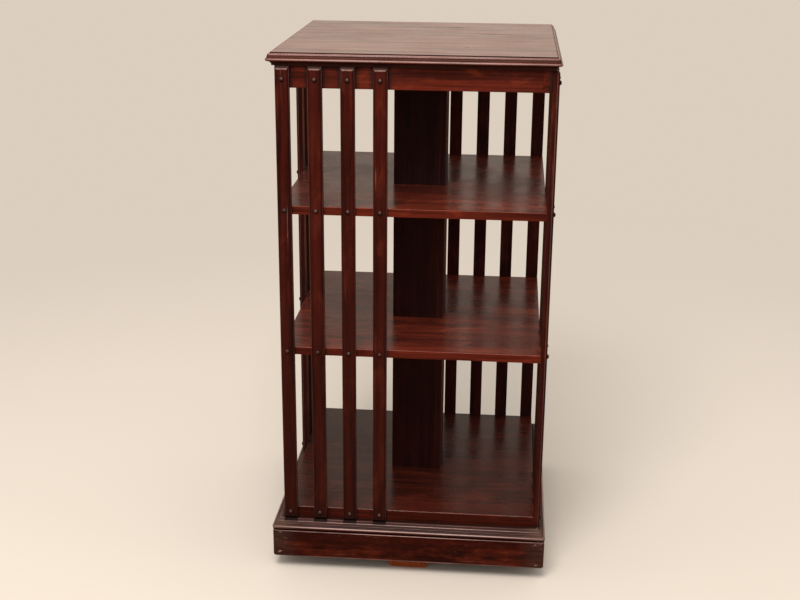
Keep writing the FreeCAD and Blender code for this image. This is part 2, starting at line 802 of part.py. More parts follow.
def check(nodes):
    """Stops where a feature failed, a cut removed nothing or a solid isn't sound."""
    for item in doc.Objects:
        if "Invalid" in item.State or "Error" in item.State:
            raise RuntimeError(f"{item.Name} can't be built")
        if item.TypeId in ("PartDesign::Pocket", "PartDesign::Groove"):
            if item.Shape.Volume >= item.BaseFeature.Shape.Volume:
                raise RuntimeError(f"{item.Name} cuts nothing")
    for node in nodes:
        if node.Shape.isNull() or not node.Shape.isValid():
            raise RuntimeError(f"{node.Label} isn't a sound solid")


def main():
    nodes = list(make_case()) + list(make_foot())
    doc.recompute()
    check(nodes)
    os.makedirs("parts", exist_ok=True)
    for node in nodes:
        node.Shape.exportStep(f"parts/{node.Label}.step")
    print(len(nodes), "sub-parts")


main()
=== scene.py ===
"""Revolving bookcase: the finished pieces, their woods and metals, and a plain studio."""

import json
import math
import random
from dataclasses import dataclass
from types import SimpleNamespace

import bmesh
import bpy
from bpy.props import FloatProperty, FloatVectorProperty, IntProperty, PointerProperty
from mathutils import Matrix, Vector

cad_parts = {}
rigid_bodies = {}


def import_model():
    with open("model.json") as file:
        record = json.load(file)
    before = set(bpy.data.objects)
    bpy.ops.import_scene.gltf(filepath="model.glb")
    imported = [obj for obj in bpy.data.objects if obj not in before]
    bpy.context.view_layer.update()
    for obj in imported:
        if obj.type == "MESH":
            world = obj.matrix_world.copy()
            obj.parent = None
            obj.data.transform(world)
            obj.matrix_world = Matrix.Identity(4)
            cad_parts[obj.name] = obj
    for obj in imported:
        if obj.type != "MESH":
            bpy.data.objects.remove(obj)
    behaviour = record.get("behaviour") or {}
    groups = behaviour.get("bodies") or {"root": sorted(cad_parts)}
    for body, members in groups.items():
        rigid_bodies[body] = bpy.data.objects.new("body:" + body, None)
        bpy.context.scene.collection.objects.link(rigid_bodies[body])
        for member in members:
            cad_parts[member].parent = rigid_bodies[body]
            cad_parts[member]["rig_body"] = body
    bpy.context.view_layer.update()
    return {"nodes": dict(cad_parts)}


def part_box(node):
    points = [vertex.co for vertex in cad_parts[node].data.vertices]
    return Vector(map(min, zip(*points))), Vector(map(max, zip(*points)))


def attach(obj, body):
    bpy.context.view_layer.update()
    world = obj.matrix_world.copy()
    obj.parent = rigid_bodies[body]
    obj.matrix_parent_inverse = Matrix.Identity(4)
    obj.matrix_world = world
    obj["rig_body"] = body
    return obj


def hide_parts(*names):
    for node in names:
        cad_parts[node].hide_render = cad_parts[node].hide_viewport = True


bl_info = {
    "name": "Revolving Bookcase",
    "version": (1, 0, 0),
    "blender": (4, 5, 0),
    "location": "3D View > Sidebar > Bookcase",
    "description": "Finishes the pieces of a revolving bookcase and sets up its studio",
    "category": "Object",
}

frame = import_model()

FACES = ("front", "right", "back", "left")
QUARTER_TURN = math.pi / 2
MM = 0.001
SHARP_ANGLE = math.radians(35)

PLINTH_LOW, PLINTH_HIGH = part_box("plinth_front")
BASE_LOW, BASE_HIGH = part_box("base_moulding_front")
TOP_LOW, TOP_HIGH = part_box("top_board")
FRIEZE_LOW, FRIEZE_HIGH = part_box("frieze_front")
SLAT_LOW, SLAT_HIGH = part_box("slat_front_1")
SLAT_CENTRE = (SLAT_LOW.x + SLAT_HIGH.x) / 2
SLAT_HALF = (SLAT_HIGH.x - SLAT_LOW.x) / 2
SLAT_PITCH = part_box("slat_front_2")[0].x - SLAT_LOW.x
STUD_LOW, STUD_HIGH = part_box("studs_frieze")
SLATS_PER_FACE = 4
SHELF_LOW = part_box("shelf_bottom")[0]


def srgb(red, green, blue):
    """A colour in levels from 0 to 255, turned into linear light."""
    def linear(level):
        share = level / 255
        return share / 12.92 if share <= 0.04045 else ((share + 0.055) / 1.055) ** 2.4

    return tuple(linear(level) for level in (red, green, blue))


# ---- Settings ----


def length(name, description, millimetres):
    return FloatProperty(name=name, description=description, default=millimetres * MM,
                         min=0.0, unit="LENGTH")


def tint(name, description, red, green, blue):
    return FloatVectorProperty(name=name, description=description, subtype="COLOR", size=3,
                               min=0.0, max=1.0, default=srgb(red, green, blue))


def share(name, description, default):
    return FloatProperty(name=name, description=description, default=default, min=0.0, max=4.0,
                         subtype="FACTOR")


def angle(name, description, degrees):
    return FloatProperty(name=name, description=description, default=math.radians(degrees),
                         subtype="ANGLE")


class BookcaseSizes(bpy.types.PropertyGroup):
    """Small sizes that the frame doesn't give."""

    arris: length("Arris", "Rounding of a board's edges", 0.8)
    corner: length("Corner", "Rounding of the upright corners where a moulding is widest", 8.0)
    inner_corner: length("Inner Corner", "Least rounding of a moulding's upright corners", 2.0)
    mitre_gap: length("Mitre Gap", "Half the hair line at a mitre", 0.12)
    slat_chamfer: length("Slat Chamfer", "Chamfer on the outer arrises of a slat", 4.0)
    slat_end_bevel: length("Slat End Bevel", "Bevel across the ends of a slat", 6.5)
    top_cove: length("Top Cove", "Radius of the hollow under the top's nosing", 8.0)
    top_nosing: length("Top Nosing", "Radius of the half round on the top's edge", 3.0)
    top_ovolo: length("Top Ovolo", "Radius of the quarter round above the nosing", 4.5)
    base_cove: length("Base Cove", "Radius of each hollow of the base moulding", 3.2)
    base_ledge: length("Base Ledge", "Flat between two hollows of the base moulding", 0.5)
    base_nosing: length("Base Nosing", "Radius of the half round on the base moulding", 3.2)
    plinth_arris: length("Plinth Arris", "Rounding of the plinth's outer arrises", 1.5)
    stud_grip: length("Stud Grip", "How far a stud's shank reaches behind its dome", 13.0)
    stud_shank: length("Stud Shank", "Diameter of a stud's shank", 3.5)
    base_coves: IntProperty(name="Base Coves", description="Hollows in the base moulding",
                            default=3, min=1)


class BookcaseColours(bpy.types.PropertyGroup):
    """The colours of the woods and metals."""

    slat_deep: tint("Slat Shade", "Darkest grain of the slats", 34, 7, 4)
    slat_body: tint("Slat", "Main colour of the slats", 68, 19, 11)
    slat_warm: tint("Slat Light", "Lightest patches of the slats", 108, 42, 22)
    case_deep: tint("Case Shade", "Darkest grain of the case", 54, 16, 10)
    case_body: tint("Case", "Main colour of the case", 104, 36, 21)
    case_warm: tint("Case Light", "Lightest patches of the case", 152, 62, 32)
    top_deep: tint("Top Shade", "Darkest grain of the top", 60, 16, 9)
    top_body: tint("Top", "Main colour of the top", 134, 64, 42)
    top_warm: tint("Top Light", "Lightest patches of the top", 160, 88, 60)
    # Colour of the painted sheen and highlights on the top's and the base's moulded edges, with
    # their wear.
    top_worn: tint("Top Worn", "Polish worn thin on the top's edge", 204, 168, 156)
    # Colour of wear, and of the painted highlights on the slats' upper bevels and the studs'
    # crowns.
    worn: tint("Worn", "Polish worn thin on the arrises", 200, 156, 140)
    dust: tint("Dust", "Dust in the hollows and on the ledges", 118, 90, 76)
    # Colour of soiling, and of the painted shade in hollows, quirks, chamfers and under overhangs.
    grime_and_shade: tint("Grime", "Old wax and dirt in the corners", 24, 7, 4)
    pine: tint("Pine", "Inner boards and blocks", 176, 134, 88)
    foot: tint("Foot", "The cross foot", 176, 86, 38)
    iron: tint("Iron", "Japanned castings", 26, 24, 24)
    steel: tint("Steel", "Spindle and screws", 168, 166, 162)
    stud: tint("Stud", "Lacquered domes", 48, 20, 16)
    backdrop: tint("Backdrop", "Studio floor and wall", 220, 206, 190)
    bounce: tint("Bounce", "What the floor gives back to the wood", 146, 92, 70)


class BookcaseStudio(bpy.types.PropertyGroup):
    """The camera and the lights."""

    lens: FloatProperty(name="Lens", description="Focal length on a 36 mm sensor",
                        default=57.76, unit="CAMERA")
    camera_place: FloatVectorProperty(name="Camera", description="Where the camera stands",
                                      size=3, default=(0.1857, -2.6723, 1.4161),
                                      subtype="TRANSLATION", unit="LENGTH")
    camera_yaw: angle("Camera Yaw", "Turned from +Y towards +X", -4.904)
    camera_pitch: angle("Camera Pitch", "Looking down", 18.547)
    camera_roll: angle("Camera Roll", "Leaning", 0.427)
    key_watts: FloatProperty(name="Key", description="The large soft lamp", default=100.0,
                             unit="POWER")
    key_size: length("Key Size", "Side of the soft lamp", 1500.0)
    ambient: share("Ambient", "Even light from all round", 0.85)
    room: share("Room", "What polish mirrors from in front of the bookcase", 0.14)
    glow: share("Glow", "How bright polish mirrors the backdrop", 0.81)
    sweep_start: length("Sweep Start", "Where the floor begins to fade", 900.0)
    sweep_end: length("Sweep End", "Where only the backdrop shows", 3200.0)


# ---- Node trees written as expressions ----


class Wire:
    """An output of a node. Python's operators on it add Math nodes to its tree."""

    def __init__(self, tree, socket):
        self.tree, self.socket = tree, socket

    def maths(self, operation, *values, clamp=False):
        settings = {"operation": operation, "use_clamp": clamp}
        return self.tree.add("ShaderNodeMath", settings, dict(enumerate(values)))

    def __add__(self, other):
        return self.maths("ADD", self, other)

    def __sub__(self, other):
        return self.maths("SUBTRACT", self, other)

    def __rsub__(self, other):
        return self.maths("SUBTRACT", other, self)

    def __mul__(self, other):
        return self.maths("MULTIPLY", self, other)

    def __truediv__(self, other):
        return self.maths("DIVIDE", self, other)

    def __mod__(self, other):
        return self.maths("FLOORED_MODULO", self, other)

    __radd__ = __add__
    __rmul__ = __mul__

    def floor(self):
        return self.maths("FLOOR", self)

    def size(self):
        return self.maths("ABSOLUTE", self)

    def least(self, other):
        return self.maths("MINIMUM", self, other)

    def most(self, other):
        return self.maths("MAXIMUM", self, other)

    def held(self):
        """Kept between 0 and 1."""
        return self.maths("ADD", self, 0.0, clamp=True)

    def step(self, start, stop, low=0.0, high=1.0):
        """Runs smoothly from low to high as this goes from start to stop."""
        values = {"Value": self, "From Min": start, "From Max": stop, "To Min": low, "To Max": high}
        return self.tree.add("ShaderNodeMapRange", {"interpolation_type": "SMOOTHSTEP"}, values)

    def part(self, name):
        return self.tree.add("ShaderNodeSeparateXYZ", {}, {0: self}, name)


class Tree:
    """A node tree that is filled through one method."""

    def __init__(self, nodes, links):
        self.nodes, self.links = nodes, links

    def add(self, kind, settings=None, sockets=None, out=0):
        """A node of a kind with its settings, then the values or wires of its sockets."""
        node = self.nodes.new(kind)
        for name, value in (settings or {}).items():
            setattr(node, name, value)
        for key, value in (sockets or {}).items():
            if isinstance(value, Wire):
                self.links.new(value.socket, node.inputs[key])
            else:
                node.inputs[key].default_value = value
        return Wire(self, node.outputs[out]) if node.outputs else node

    def vector(self, operation, *values):
        return self.add("ShaderNodeVectorMath", {"operation": operation}, dict(enumerate(values)))

    def combine(self, *parts):
        """A vector, or a grey, from its parts."""
        return self.add("ShaderNodeCombineXYZ", {}, dict(enumerate(parts)))

    def distance(self, place):
        """How far a place lies from the origin."""
        return self.add("ShaderNodeVectorMath", {"operation": "LENGTH"}, {0: place}, "Value")


# The sockets of a Mix node that it uses for colours.
MIX_A, MIX_B, MIX_RESULT = 6, 7, 2


class Finish(Tree):
    """A material's nodes around one Principled shader."""

    def __init__(self, name):
        self.material = bpy.data.materials.new(name)
        self.material.use_nodes = True
        tree = self.material.node_tree
        tree.nodes.clear()
        super().__init__(tree.nodes, tree.links)
        self.shader = tree.nodes.new("ShaderNodeBsdfPrincipled")
        self.output = tree.nodes.new("ShaderNodeOutputMaterial")
        self.surface = Wire(self, self.shader.outputs[0])
        self.show(self.surface)

    def show(self, surface):
        self.links.new(surface.socket, self.output.inputs["Surface"])

    def attribute(self, name, out="Fac"):
        return self.add("ShaderNodeAttribute", {"attribute_name": name}, out=out)

    def upward(self):
        """How far a surface faces up."""
        return self.add("ShaderNodeNewGeometry", out="Normal").part("Z").most(0.0)

    def noise(self, place, stretch, detail=2.0, roughness=0.5, distortion=0.0):
        """Noise whose cells are 1 / stretch metres long on each axis."""
        values = {"Vector": self.vector("MULTIPLY", place, stretch), "Scale": 1.0,
                  "Detail": detail, "Roughness": roughness, "Distortion": distortion}
        return self.add("ShaderNodeTexNoise", {}, values)

    def mix(self, factor, first, second, blend="MIX"):
        def colour(value):
            return value if isinstance(value, Wire) else (*value, 1.0)

        settings = {"data_type": "RGBA", "blend_type": blend, "clamp_factor": True}
        values = {0: factor, MIX_A: colour(first), MIX_B: colour(second)}
        return self.add("ShaderNodeMix", settings, values, MIX_RESULT)

    def bump(self, height, strength, distance):
        return self.add("ShaderNodeBump", {}, {"Strength": strength, "Distance": distance,
                                               "Height": height}, "Normal")

    def give(self, **sockets):
        """Sets or links the shader's sockets; an underscore in a name stands for a space."""
        for name, value in sockets.items():
            socket = self.shader.inputs[name.replace("_", " ")]
            if isinstance(value, Wire):
                self.links.new(value.socket, socket)
            else:
                socket.default_value = value
        return self.material


# ---- Woods and metals ----


@dataclass
class Timber:
    """How a board looks: its colours, then how strong each mark on it is."""

    deep: tuple
    body: tuple
    warm: tuple
    worn: tuple
    dust: tuple
    grime_and_shade: tuple
    shade: float = 1.0
    figure: float = 1.0
    patches: float = 0.5
    streaks: float = 0.3
    wear: float = 0.0
    reach: float = 2.5 * MM
    broken: float = 0.7
    edge_grime: float = 0.0
    dark_ends: float = 0.0
    dusty: float = 0.1
    dusty_ends: float = 0.0
    scratches: float = 0.3
    chips: float = 0.0
    mottle: float = 0.0
    end_grain: float = 0.35
    edge_shade: float = 1.0
    roughness: float = 0.3
    gloss: float = 0.2
    coat: float = 0.0


def timber(colours, family, **marks):
    """Timber in one of the families of colours: slat, case or top."""
    wood = [getattr(colours, f"{family}_{part}") for part in ("deep", "body", "warm")]
    worn = marks.pop("worn", colours.worn)
    return Timber(*wood, worn, colours.dust, colours.grime_and_shade, **marks)


def darker(colour, amount):
    return tuple(amount * level for level in colour)


GRAIN_SHIFT = (31.0, 17.0, 23.0)
BOARD_END = (0.225, 0.28)
WOOD_MARKS = {
    # cells a metre along the grain, and across it, detail, roughness, distortion, start, full
    "figure": (2.2, 38.0, 4.0, 0.55, 0.8, 0.32, 0.70),
    "ribbon": (5.0, 190.0, 3.0, 0.6, 0.3, 0.35, 0.68),
    "pores": (45.0, 1500.0, 2.0, 0.6, 0.0, 0.56, 0.74),
    "patch": (9.0, 24.0, 3.0, 0.6, 0.6, 0.48, 0.72),
    "streak": (6.0, 150.0, 2.0, 0.5, 0.4, 0.58, 0.72),
    "mottle": (70.0, 150.0, 3.0, 0.65, 0.0, 0.36, 0.64),
    "line": (5.0, 520.0, 1.0, 0.4, 0.15, 0.70, 0.78),
    "broken": (11.0, 60.0, 2.0, 0.5, 0.0, 0.52, 0.72),
    "flakes": (90.0, 220.0, 3.0, 0.7, 0.0, 0.62, 0.72),
    "knocked": (7.0, 18.0, 2.0, 0.5, 0.0, 0.50, 0.66),
}


class Board:
    """Where a point lies on its board, and the marks of the wood there, each from 0 to 1."""

    def __init__(self, finish):
        self.local = finish.attribute("local", "Vector")
        self.tone = finish.attribute("tone")
        self.flat = finish.upward().step(0.90, 0.99)
        off_middle = finish.vector("ABSOLUTE", self.local)
        self.ends = off_middle.part("X").step(*BOARD_END)
        inset = finish.vector("SUBTRACT", finish.attribute("half", "Vector"), off_middle)
        self.insets = [inset.part(axis) for axis in "XYZ"]
        shift = finish.combine(*(self.tone * by for by in GRAIN_SHIFT))
        self.place = finish.vector("ADD", self.local, shift)
        self.marks = SimpleNamespace()
        for name, (along, across, *pattern, start, full) in WOOD_MARKS.items():
            mark = finish.noise(self.place, (along, across, across), *pattern)
            setattr(self.marks, name, mark.step(start, full))

    def off_arris(self):
        """Distance from a point on a plain board to its nearest arris.

        Of a point's three distances to the board's faces one is nought, and the middle one
        leads to the arris.
        """
        first, second, third = self.insets
        return first.least(second).most(first.most(second).least(third))


def timber_colour(finish, board, wood):
    """The clean wood: broad figure, ribbon, warm patches, pores, streaks and end grain, and painted
    shade on faces that don't face up.
    """
    marks = board.marks
    light = (marks.figure * 0.75 + marks.ribbon * 0.45) * wood.figure
    colour = finish.mix(light, wood.deep, wood.body)
    warmth = marks.patch * marks.ribbon.step(0.0, 1.0, 0.45, 1.0) * wood.patches
    colour = finish.mix(warmth, colour, wood.warm)
    end_grain = board.insets[0].step(0.1 * MM, 0.6 * MM, wood.end_grain, 0.0)
    shade = (1.0 - marks.pores * 0.35) * (1.0 - marks.streak * wood.streaks)
    shade = shade * (1.0 - board.ends * wood.dark_ends)
    shade = shade * (1.0 - marks.mottle * wood.mottle) * (1.0 - end_grain)
    shade = shade * board.tone.step(0.0, 1.0, 0.84, 1.18) * wood.shade
    # Painted shade: faces that don't face up are darker.
    if wood.edge_shade < 1.0:
        shade = shade * board.flat.step(0.0, 1.0, wood.edge_shade, 1.0)
    return finish.mix(1.0, colour, finish.combine(shade, shade, shade), "MULTIPLY")


def polished_wood(name, wood, extra_dirt_and_shade=None):
    """Polished timber with scratches and chips, wear with painted highlights, dust, and soiling
    with painted shade.
    """
    finish = Finish(name)
    board = Board(finish)
    marks = board.marks
    scratch = marks.line * marks.broken * wood.scratches
    chip = marks.flakes * (marks.knocked * 0.25 + board.ends).held() * wood.chips
    colour = timber_colour(finish, board, wood)
    colour = finish.mix((scratch + chip).held(), colour, wood.worn)

    near = (board.off_arris() / wood.reach).step(0.0, 1.0, 1.0, 0.0)
    rubbed_and_lit = finish.noise(board.place, (16.0, 90.0, 90.0), 3.0, 0.6)
    rubbed_and_lit = rubbed_and_lit.step(0.32, 0.62, 1.0 - wood.broken, 1.0)
    # Wear, and the painted highlights that mouldings, slats and studs carry with it.
    worn = (near * wood.wear + finish.attribute("worn")).held() * rubbed_and_lit
    colour = finish.mix(worn, colour, wood.worn)

    settled = finish.noise(board.place, (12.0, 160.0, 160.0), 4.0, 0.7).step(0.30, 0.62, 0.35, 1.0)
    dust = (finish.upward() * wood.dusty + board.ends * wood.dusty_ends) * settled
    colour = finish.mix(dust.held(), colour, wood.dust)
    # Soiling, and the painted shade that hollows, chamfers and overhung places carry with it.
    grime_and_shade = finish.attribute("grime_and_shade") + near * wood.edge_grime
    if extra_dirt_and_shade is not None:
        grime_and_shade = grime_and_shade + extra_dirt_and_shade(finish, board.local)
    colour = finish.mix(grime_and_shade.held() * 0.95, colour, wood.grime_and_shade)

    smear = finish.noise(board.local, (8.0, 8.0, 8.0), 3.0, 0.6).step(0.3, 0.7, -0.05, 0.07)
    roughness = smear + wood.roughness + marks.pores * 0.12
    roughness = roughness + dust * 0.3 + grime_and_shade * 0.3 + worn * 0.35
    height = marks.pores * -0.6 + marks.ribbon * 0.25 + scratch * -0.5
    coat = 0.0
    if wood.coat:
        sheen = marks.ribbon * 0.30 + marks.figure * 0.22 - marks.streak * 0.6
        sheen = sheen - marks.pores * 0.15 - grime_and_shade + 0.62
        coat = sheen.held() * board.flat * wood.coat
    return finish.give(Base_Color=colour, Roughness=roughness.held(),
                       Normal=finish.bump(height, 0.18, 0.4 * MM), Coat_Weight=coat,
                       Coat_Roughness=0.16, Specular_IOR_Level=wood.gloss)


# Out from a slat's edge: full painted shadow, then none.
SHADOW_UNDER_SLAT = (-0.5 * MM, 1.5 * MM)
# Down from the base moulding's ledge: no painted shadow, then full.
LEDGE_SHADOW = (6.0 * MM, 3.0 * MM)
# Out from a slat's edge on the frieze's face: no soiling and no painted shade beyond this.
FACE_SHADE = 13.0 * MM
# In from the frieze's end: its end grain, then its face.
FACE_END = (0.2 * MM, 0.8 * MM)
# In from the frieze's face on its end grain: full soiling and painted shade, then none.
END_SHADE = (2.0 * MM, 12.0 * MM)


def off_slats(along):
    """Sideways distance from a point of a face to the nearest slat's edge, negative behind it."""
    last = SLAT_CENTRE + (SLATS_PER_FACE - 1) * SLAT_PITCH
    turns = ((along - SLAT_CENTRE) / SLAT_PITCH + 0.5) % 1.0
    beside = (turns - 0.5).size() * SLAT_PITCH
    return beside.most(along - last) - SLAT_HALF


def shadow_under_slat_feet(finish, local):
    """Painted contact shadow and soiling on the base moulding's ledge under the slats, which
    overhang it.
    """
    under = off_slats(local.part("X")).step(*SHADOW_UNDER_SLAT, 1.0, 0.0)
    ledge = (BASE_HIGH.z - BASE_LOW.z) / 2
    start, full = LEDGE_SHADOW
    return under * local.part("Y").step(ledge - start, ledge - full)


def dirt_and_shade_beside_slats(finish, local):
    """Darkening along the slats' edges, on the frieze's face and on its end grain: old polish and
    painted shade.
    """
    along = local.part("X") + (FRIEZE_LOW.x + FRIEZE_HIGH.x) / 2
    off_end = (along - FRIEZE_LOW.x).step(*FACE_END)
    outer_face = (FRIEZE_LOW.y - FRIEZE_HIGH.y) / 2
    face_shade = off_slats(along).step(0.0, FACE_SHADE, 0.8, 0.0)
    end_shade = (local.part("Z") - outer_face).step(*END_SHADE, 0.85, 0.0)
    return face_shade * off_end + end_shade * (1.0 - off_end)


TOP_JOINT = 30.0 * MM
TOP_JOINT_LINE = (0.2 * MM, 1.4 * MM)
TOP_MARKS = (
    # across, back, half length, half width, depth
    (62.0, 172.0, 34.0, 8.0, 0.7),
    (96.0, -153.0, 11.0, 5.0, 0.5),
    (-104.0, 30.0, 75.0, 6.0, 0.45),
    (150.0, 60.0, 65.0, 5.0, 0.3),
)


def top_marks(finish, local):
    """The hair line where the top's two boards meet, and the knots and dark streaks near it."""
    joint = (local.part("Y") - TOP_JOINT).size().step(*TOP_JOINT_LINE, 0.6, 0.0)
    marks = joint * finish.noise(local, (9.0, 1.0, 1.0)).step(0.35, 0.6, 0.3, 1.0)
    for across, back, long, wide, depth in TOP_MARKS:
        off = finish.vector("SUBTRACT", local, (across * MM, back * MM, 0.0))
        off = finish.vector("MULTIPLY", off, (1.0 / (long * MM), 1.0 / (wide * MM), 0.0))
        ripple = finish.noise(local, (20.0, 160.0, 1.0), 2.0) * 0.8
        marks = marks + (finish.distance(off) + ripple).step(0.45, 1.3, depth, 0.0)
    return marks


def slat_mahogany(colours):
    return polished_wood("slat_mahogany_finish", timber(
        colours, "slat", patches=0.5, streaks=0.3, broken=0.5, dusty=0.05, scratches=0.55,
        mottle=0.12, roughness=0.28, gloss=0.18))


def frieze_mahogany(colours):
    return polished_wood("frieze_mahogany_finish", timber(
        colours, "case", patches=0.8, edge_grime=0.2, reach=2.0 * MM, dark_ends=0.1,
        mottle=0.15, end_grain=0.1, roughness=0.28, gloss=0.2), dirt_and_shade_beside_slats)


def shelf_mahogany(colours):
    return polished_wood("shelf_mahogany_finish", timber(
        colours, "case", worn=colours.case_warm, shade=0.95, patches=0.6, wear=0.7,
        reach=1.6 * MM, broken=0.5, dusty=0.03, roughness=0.24, gloss=0.2))


# Painted shade: a darker copy of the shelf wood, for the lower light on the bottom shelf.
def shaded_bottom_shelf_mahogany(colours):
    return polished_wood("bottom_shelf_mahogany_finish", timber(
        colours, "case", worn=colours.case_warm, shade=0.52, patches=0.4, wear=0.5,
        reach=1.6 * MM, broken=0.6, dusty=0.02, mottle=0.15, roughness=0.24, gloss=0.2))


def base_mahogany(colours):
    return polished_wood("base_mahogany_finish", timber(
        colours, "case", worn=colours.top_worn, shade=0.66, figure=0.6, patches=0.1, broken=0.3,
        dusty=0.1, dusty_ends=0.7, chips=0.4, mottle=0.2, roughness=0.34, gloss=0.2),
        shadow_under_slat_feet)


def plinth_mahogany(colours):
    return polished_wood("plinth_mahogany_finish", timber(
        colours, "slat", figure=1.0, patches=0.9, broken=0.6, dark_ends=0.45, dusty=0.12,
        dusty_ends=0.2, scratches=0.4, chips=0.8, mottle=0.4, roughness=0.34, gloss=0.18))


# Painted shade: the slat wood at half its brightness, for the little light inside the case.
def shaded_column_mahogany(colours):
    return polished_wood("column_mahogany_finish", timber(
        colours, "slat", worn=colours.case_warm, shade=0.5, patches=0.2, wear=0.1,
        scratches=0.15, roughness=0.42, gloss=0.2))


# Painted shade darkens the top's moulded edge, and its wear colour also paints sheen and highlights
# there.
def top_mahogany(colours):
    return polished_wood("top_mahogany_finish", timber(
        colours, "top", worn=colours.top_worn, patches=0.2, streaks=0.5, broken=0.3, dusty=0.0,
        scratches=0.15, end_grain=0.0, edge_shade=0.5, roughness=0.27, gloss=0.3, coat=0.86),
        top_marks)


# Painted light: shade 1.2 brightens the foot beyond its wood's colour, though it stands in the
# shadow under the plinth.
def foot_wood(colours):
    wood = Timber(darker(colours.foot, 0.5), colours.foot, colours.pine,
                  colours.worn, colours.dust, colours.grime_and_shade,
                  shade=1.2, figure=0.9, patches=0.2, wear=0.3, scratches=0.3, end_grain=0.1,
                  roughness=0.45, gloss=0.25)
    return polished_wood("foot_wood_finish", wood)


def inner_pine(colours):
    wood = Timber(darker(colours.pine, 0.55), colours.pine, colours.pine,
                  colours.pine, colours.dust, colours.grime_and_shade,
                  figure=0.9, patches=0.1, dusty=0.3, scratches=0.1, roughness=0.7, gloss=0.3)
    return polished_wood("inner_pine_finish", wood)


def metal(name, colour, worn, metallic, roughness, pitting, gloss=0.5):
    """A cast, turned or lacquered metal, brighter where it has wear and painted highlight, and
    darker where it has soiling and painted shade.
    """
    finish = Finish(name)
    place = finish.add("ShaderNodeTexCoord", out="Object")
    grain = finish.noise(place, (900.0, 900.0, 900.0), 4.0, 0.65)
    cloud = finish.noise(place, (120.0, 120.0, 120.0), 3.0, 0.6).step(0.3, 0.7)
    rubbed_and_lit = finish.attribute("worn") * cloud.step(0.0, 1.0, 0.4, 1.0)
    shade = finish.mix(cloud, darker(colour, 0.6), colour)
    shade = finish.mix(rubbed_and_lit, shade, worn)
    dirty_and_shaded = finish.mix(finish.attribute("grime_and_shade"), shade, darker(colour, 0.15))
    return finish.give(
        Base_Color=dirty_and_shaded, Metallic=metallic,
        Roughness=(cloud.step(0.0, 1.0, 0.1, -0.05) + roughness + grain * 0.1).held(),
        Normal=finish.bump(grain, pitting, 0.3 * MM), Specular_IOR_Level=gloss)


def cast_iron(colours):
    return metal("cast_iron_finish", colours.iron, colours.steel, 0.3, 0.45, 0.5)


def turned_steel(colours):
    return metal("turned_steel_finish", colours.steel, colours.steel, 1.0, 0.3, 0.1)


def stud_metal(colours):
    return metal("stud_metal_finish", colours.stud, colours.worn, 0.0, 0.22, 0.1, 0.28)


MATERIALS_MADE = {}


def made_once(maker):
    """The material of a maker, made the first time that it is asked for."""
    if maker not in MATERIALS_MADE:
        MATERIALS_MADE[maker] = maker(bpy.context.scene.bookcase_colours)
    return MATERIALS_MADE[maker]


# ---- Mesh tools ----


MERGE_DISTANCE = 0.002 * MM
CAD_MERGE_DISTANCE = 0.01 * MM
FLAT_ANGLE = math.radians(1.0)


def board_tone(name):
    """A board's own number from 0 to 1, which shifts its grain and its shade."""
    return random.Random(name).random()


def store(mesh, name, kind, values):
    """Keeps a number or a vector on each point of a mesh."""
    attribute = mesh.attributes.new(name, kind, "POINT")
    flat = [part for value in values for part in value] if kind == "FLOAT_VECTOR" else values
    attribute.data.foreach_set("vector" if kind == "FLOAT_VECTOR" else "value", flat)


def grain_axes(low, high):
    """The axes of a board from its longest side, which the grain follows, to its shortest."""
    size = high - low
    return sorted(range(3), key=lambda axis: -size[axis])


def store_grain(mesh, tone, axes, middle, half=None):
    """Gives a board its grain coordinates, and its half sizes where its arrises are plain."""
    local = [[(vertex.co - middle)[axis] for axis in axes] for vertex in mesh.vertices]
    store(mesh, "local", "FLOAT_VECTOR", local)
    plain = [half[axis] for axis in axes] if half else [1.0, 1.0, 1.0]
    store(mesh, "half", "FLOAT_VECTOR", [plain] * len(mesh.vertices))
    if tone is not None:
        store(mesh, "tone", "FLOAT", [tone] * len(mesh.vertices))


def store_plain_grain(mesh, node, low, high):
    """The grain coordinates of a plain board that fills the box from low to high."""
    axes = grain_axes(low, high)
    store_grain(mesh, board_tone(node), axes, (low + high) / 2, (high - low) / 2)


def new_object(name, data):
    piece = bpy.data.objects.new(name, data)
    bpy.context.scene.collection.objects.link(piece)
    return piece


def solid(piece):
    """The piece with its modifiers worked into its mesh."""
    graph = bpy.context.evaluated_depsgraph_get()
    mesh = bpy.data.meshes.new_from_object(
        piece.evaluated_get(graph), preserve_all_data_layers=True, depsgraph=graph)
    piece.modifiers.clear()
    piece.data = mesh
    return piece


def smooth(piece):
    """Shades curves smoothly and keeps flats flat."""
    piece.data.polygons.foreach_set("use_smooth", [True] * len(piece.data.polygons))
    piece.data.set_sharp_from_angle(angle=SHARP_ANGLE)
    weighted = piece.modifiers.new("Flats", "WEIGHTED_NORMAL")
    weighted.keep_sharp = True
    return solid(piece)


def seat(piece, nodes):
    """Lets a finished piece stand for its CAD nodes on their body."""
    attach(piece, frame["nodes"][nodes[0]]["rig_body"])
    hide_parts(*nodes)


def complete(piece, maker, node):
    """Shades and paints the piece that stands for one CAD node, and seats it."""
    smooth(piece)
    piece.data.materials.clear()
    piece.data.materials.append(made_once(maker))
    seat(piece, [node])


def turn_to(face, mesh):
    """Turns what was made for the front to another face."""
    mesh.transform(Matrix.Rotation(FACES.index(face) * QUARTER_TURN, 4, "Z"))


def to_mesh(name, shape):
    """A mesh from a bmesh, which is then freed."""
    mesh = bpy.data.meshes.new(name)
    shape.to_mesh(mesh)
    shape.free()
    return mesh


def mesh_from(name, shape):
    """A mesh from a bmesh, cleaned and with its faces outwards."""
    bmesh.ops.remove_doubles(shape, verts=shape.verts, dist=MERGE_DISTANCE)
    bmesh.ops.recalc_face_normals(shape, faces=shape.faces)
    return to_mesh(name, shape)


# ---- Mouldings: outlines swept round a square ----

CORNER_STEPS = 3
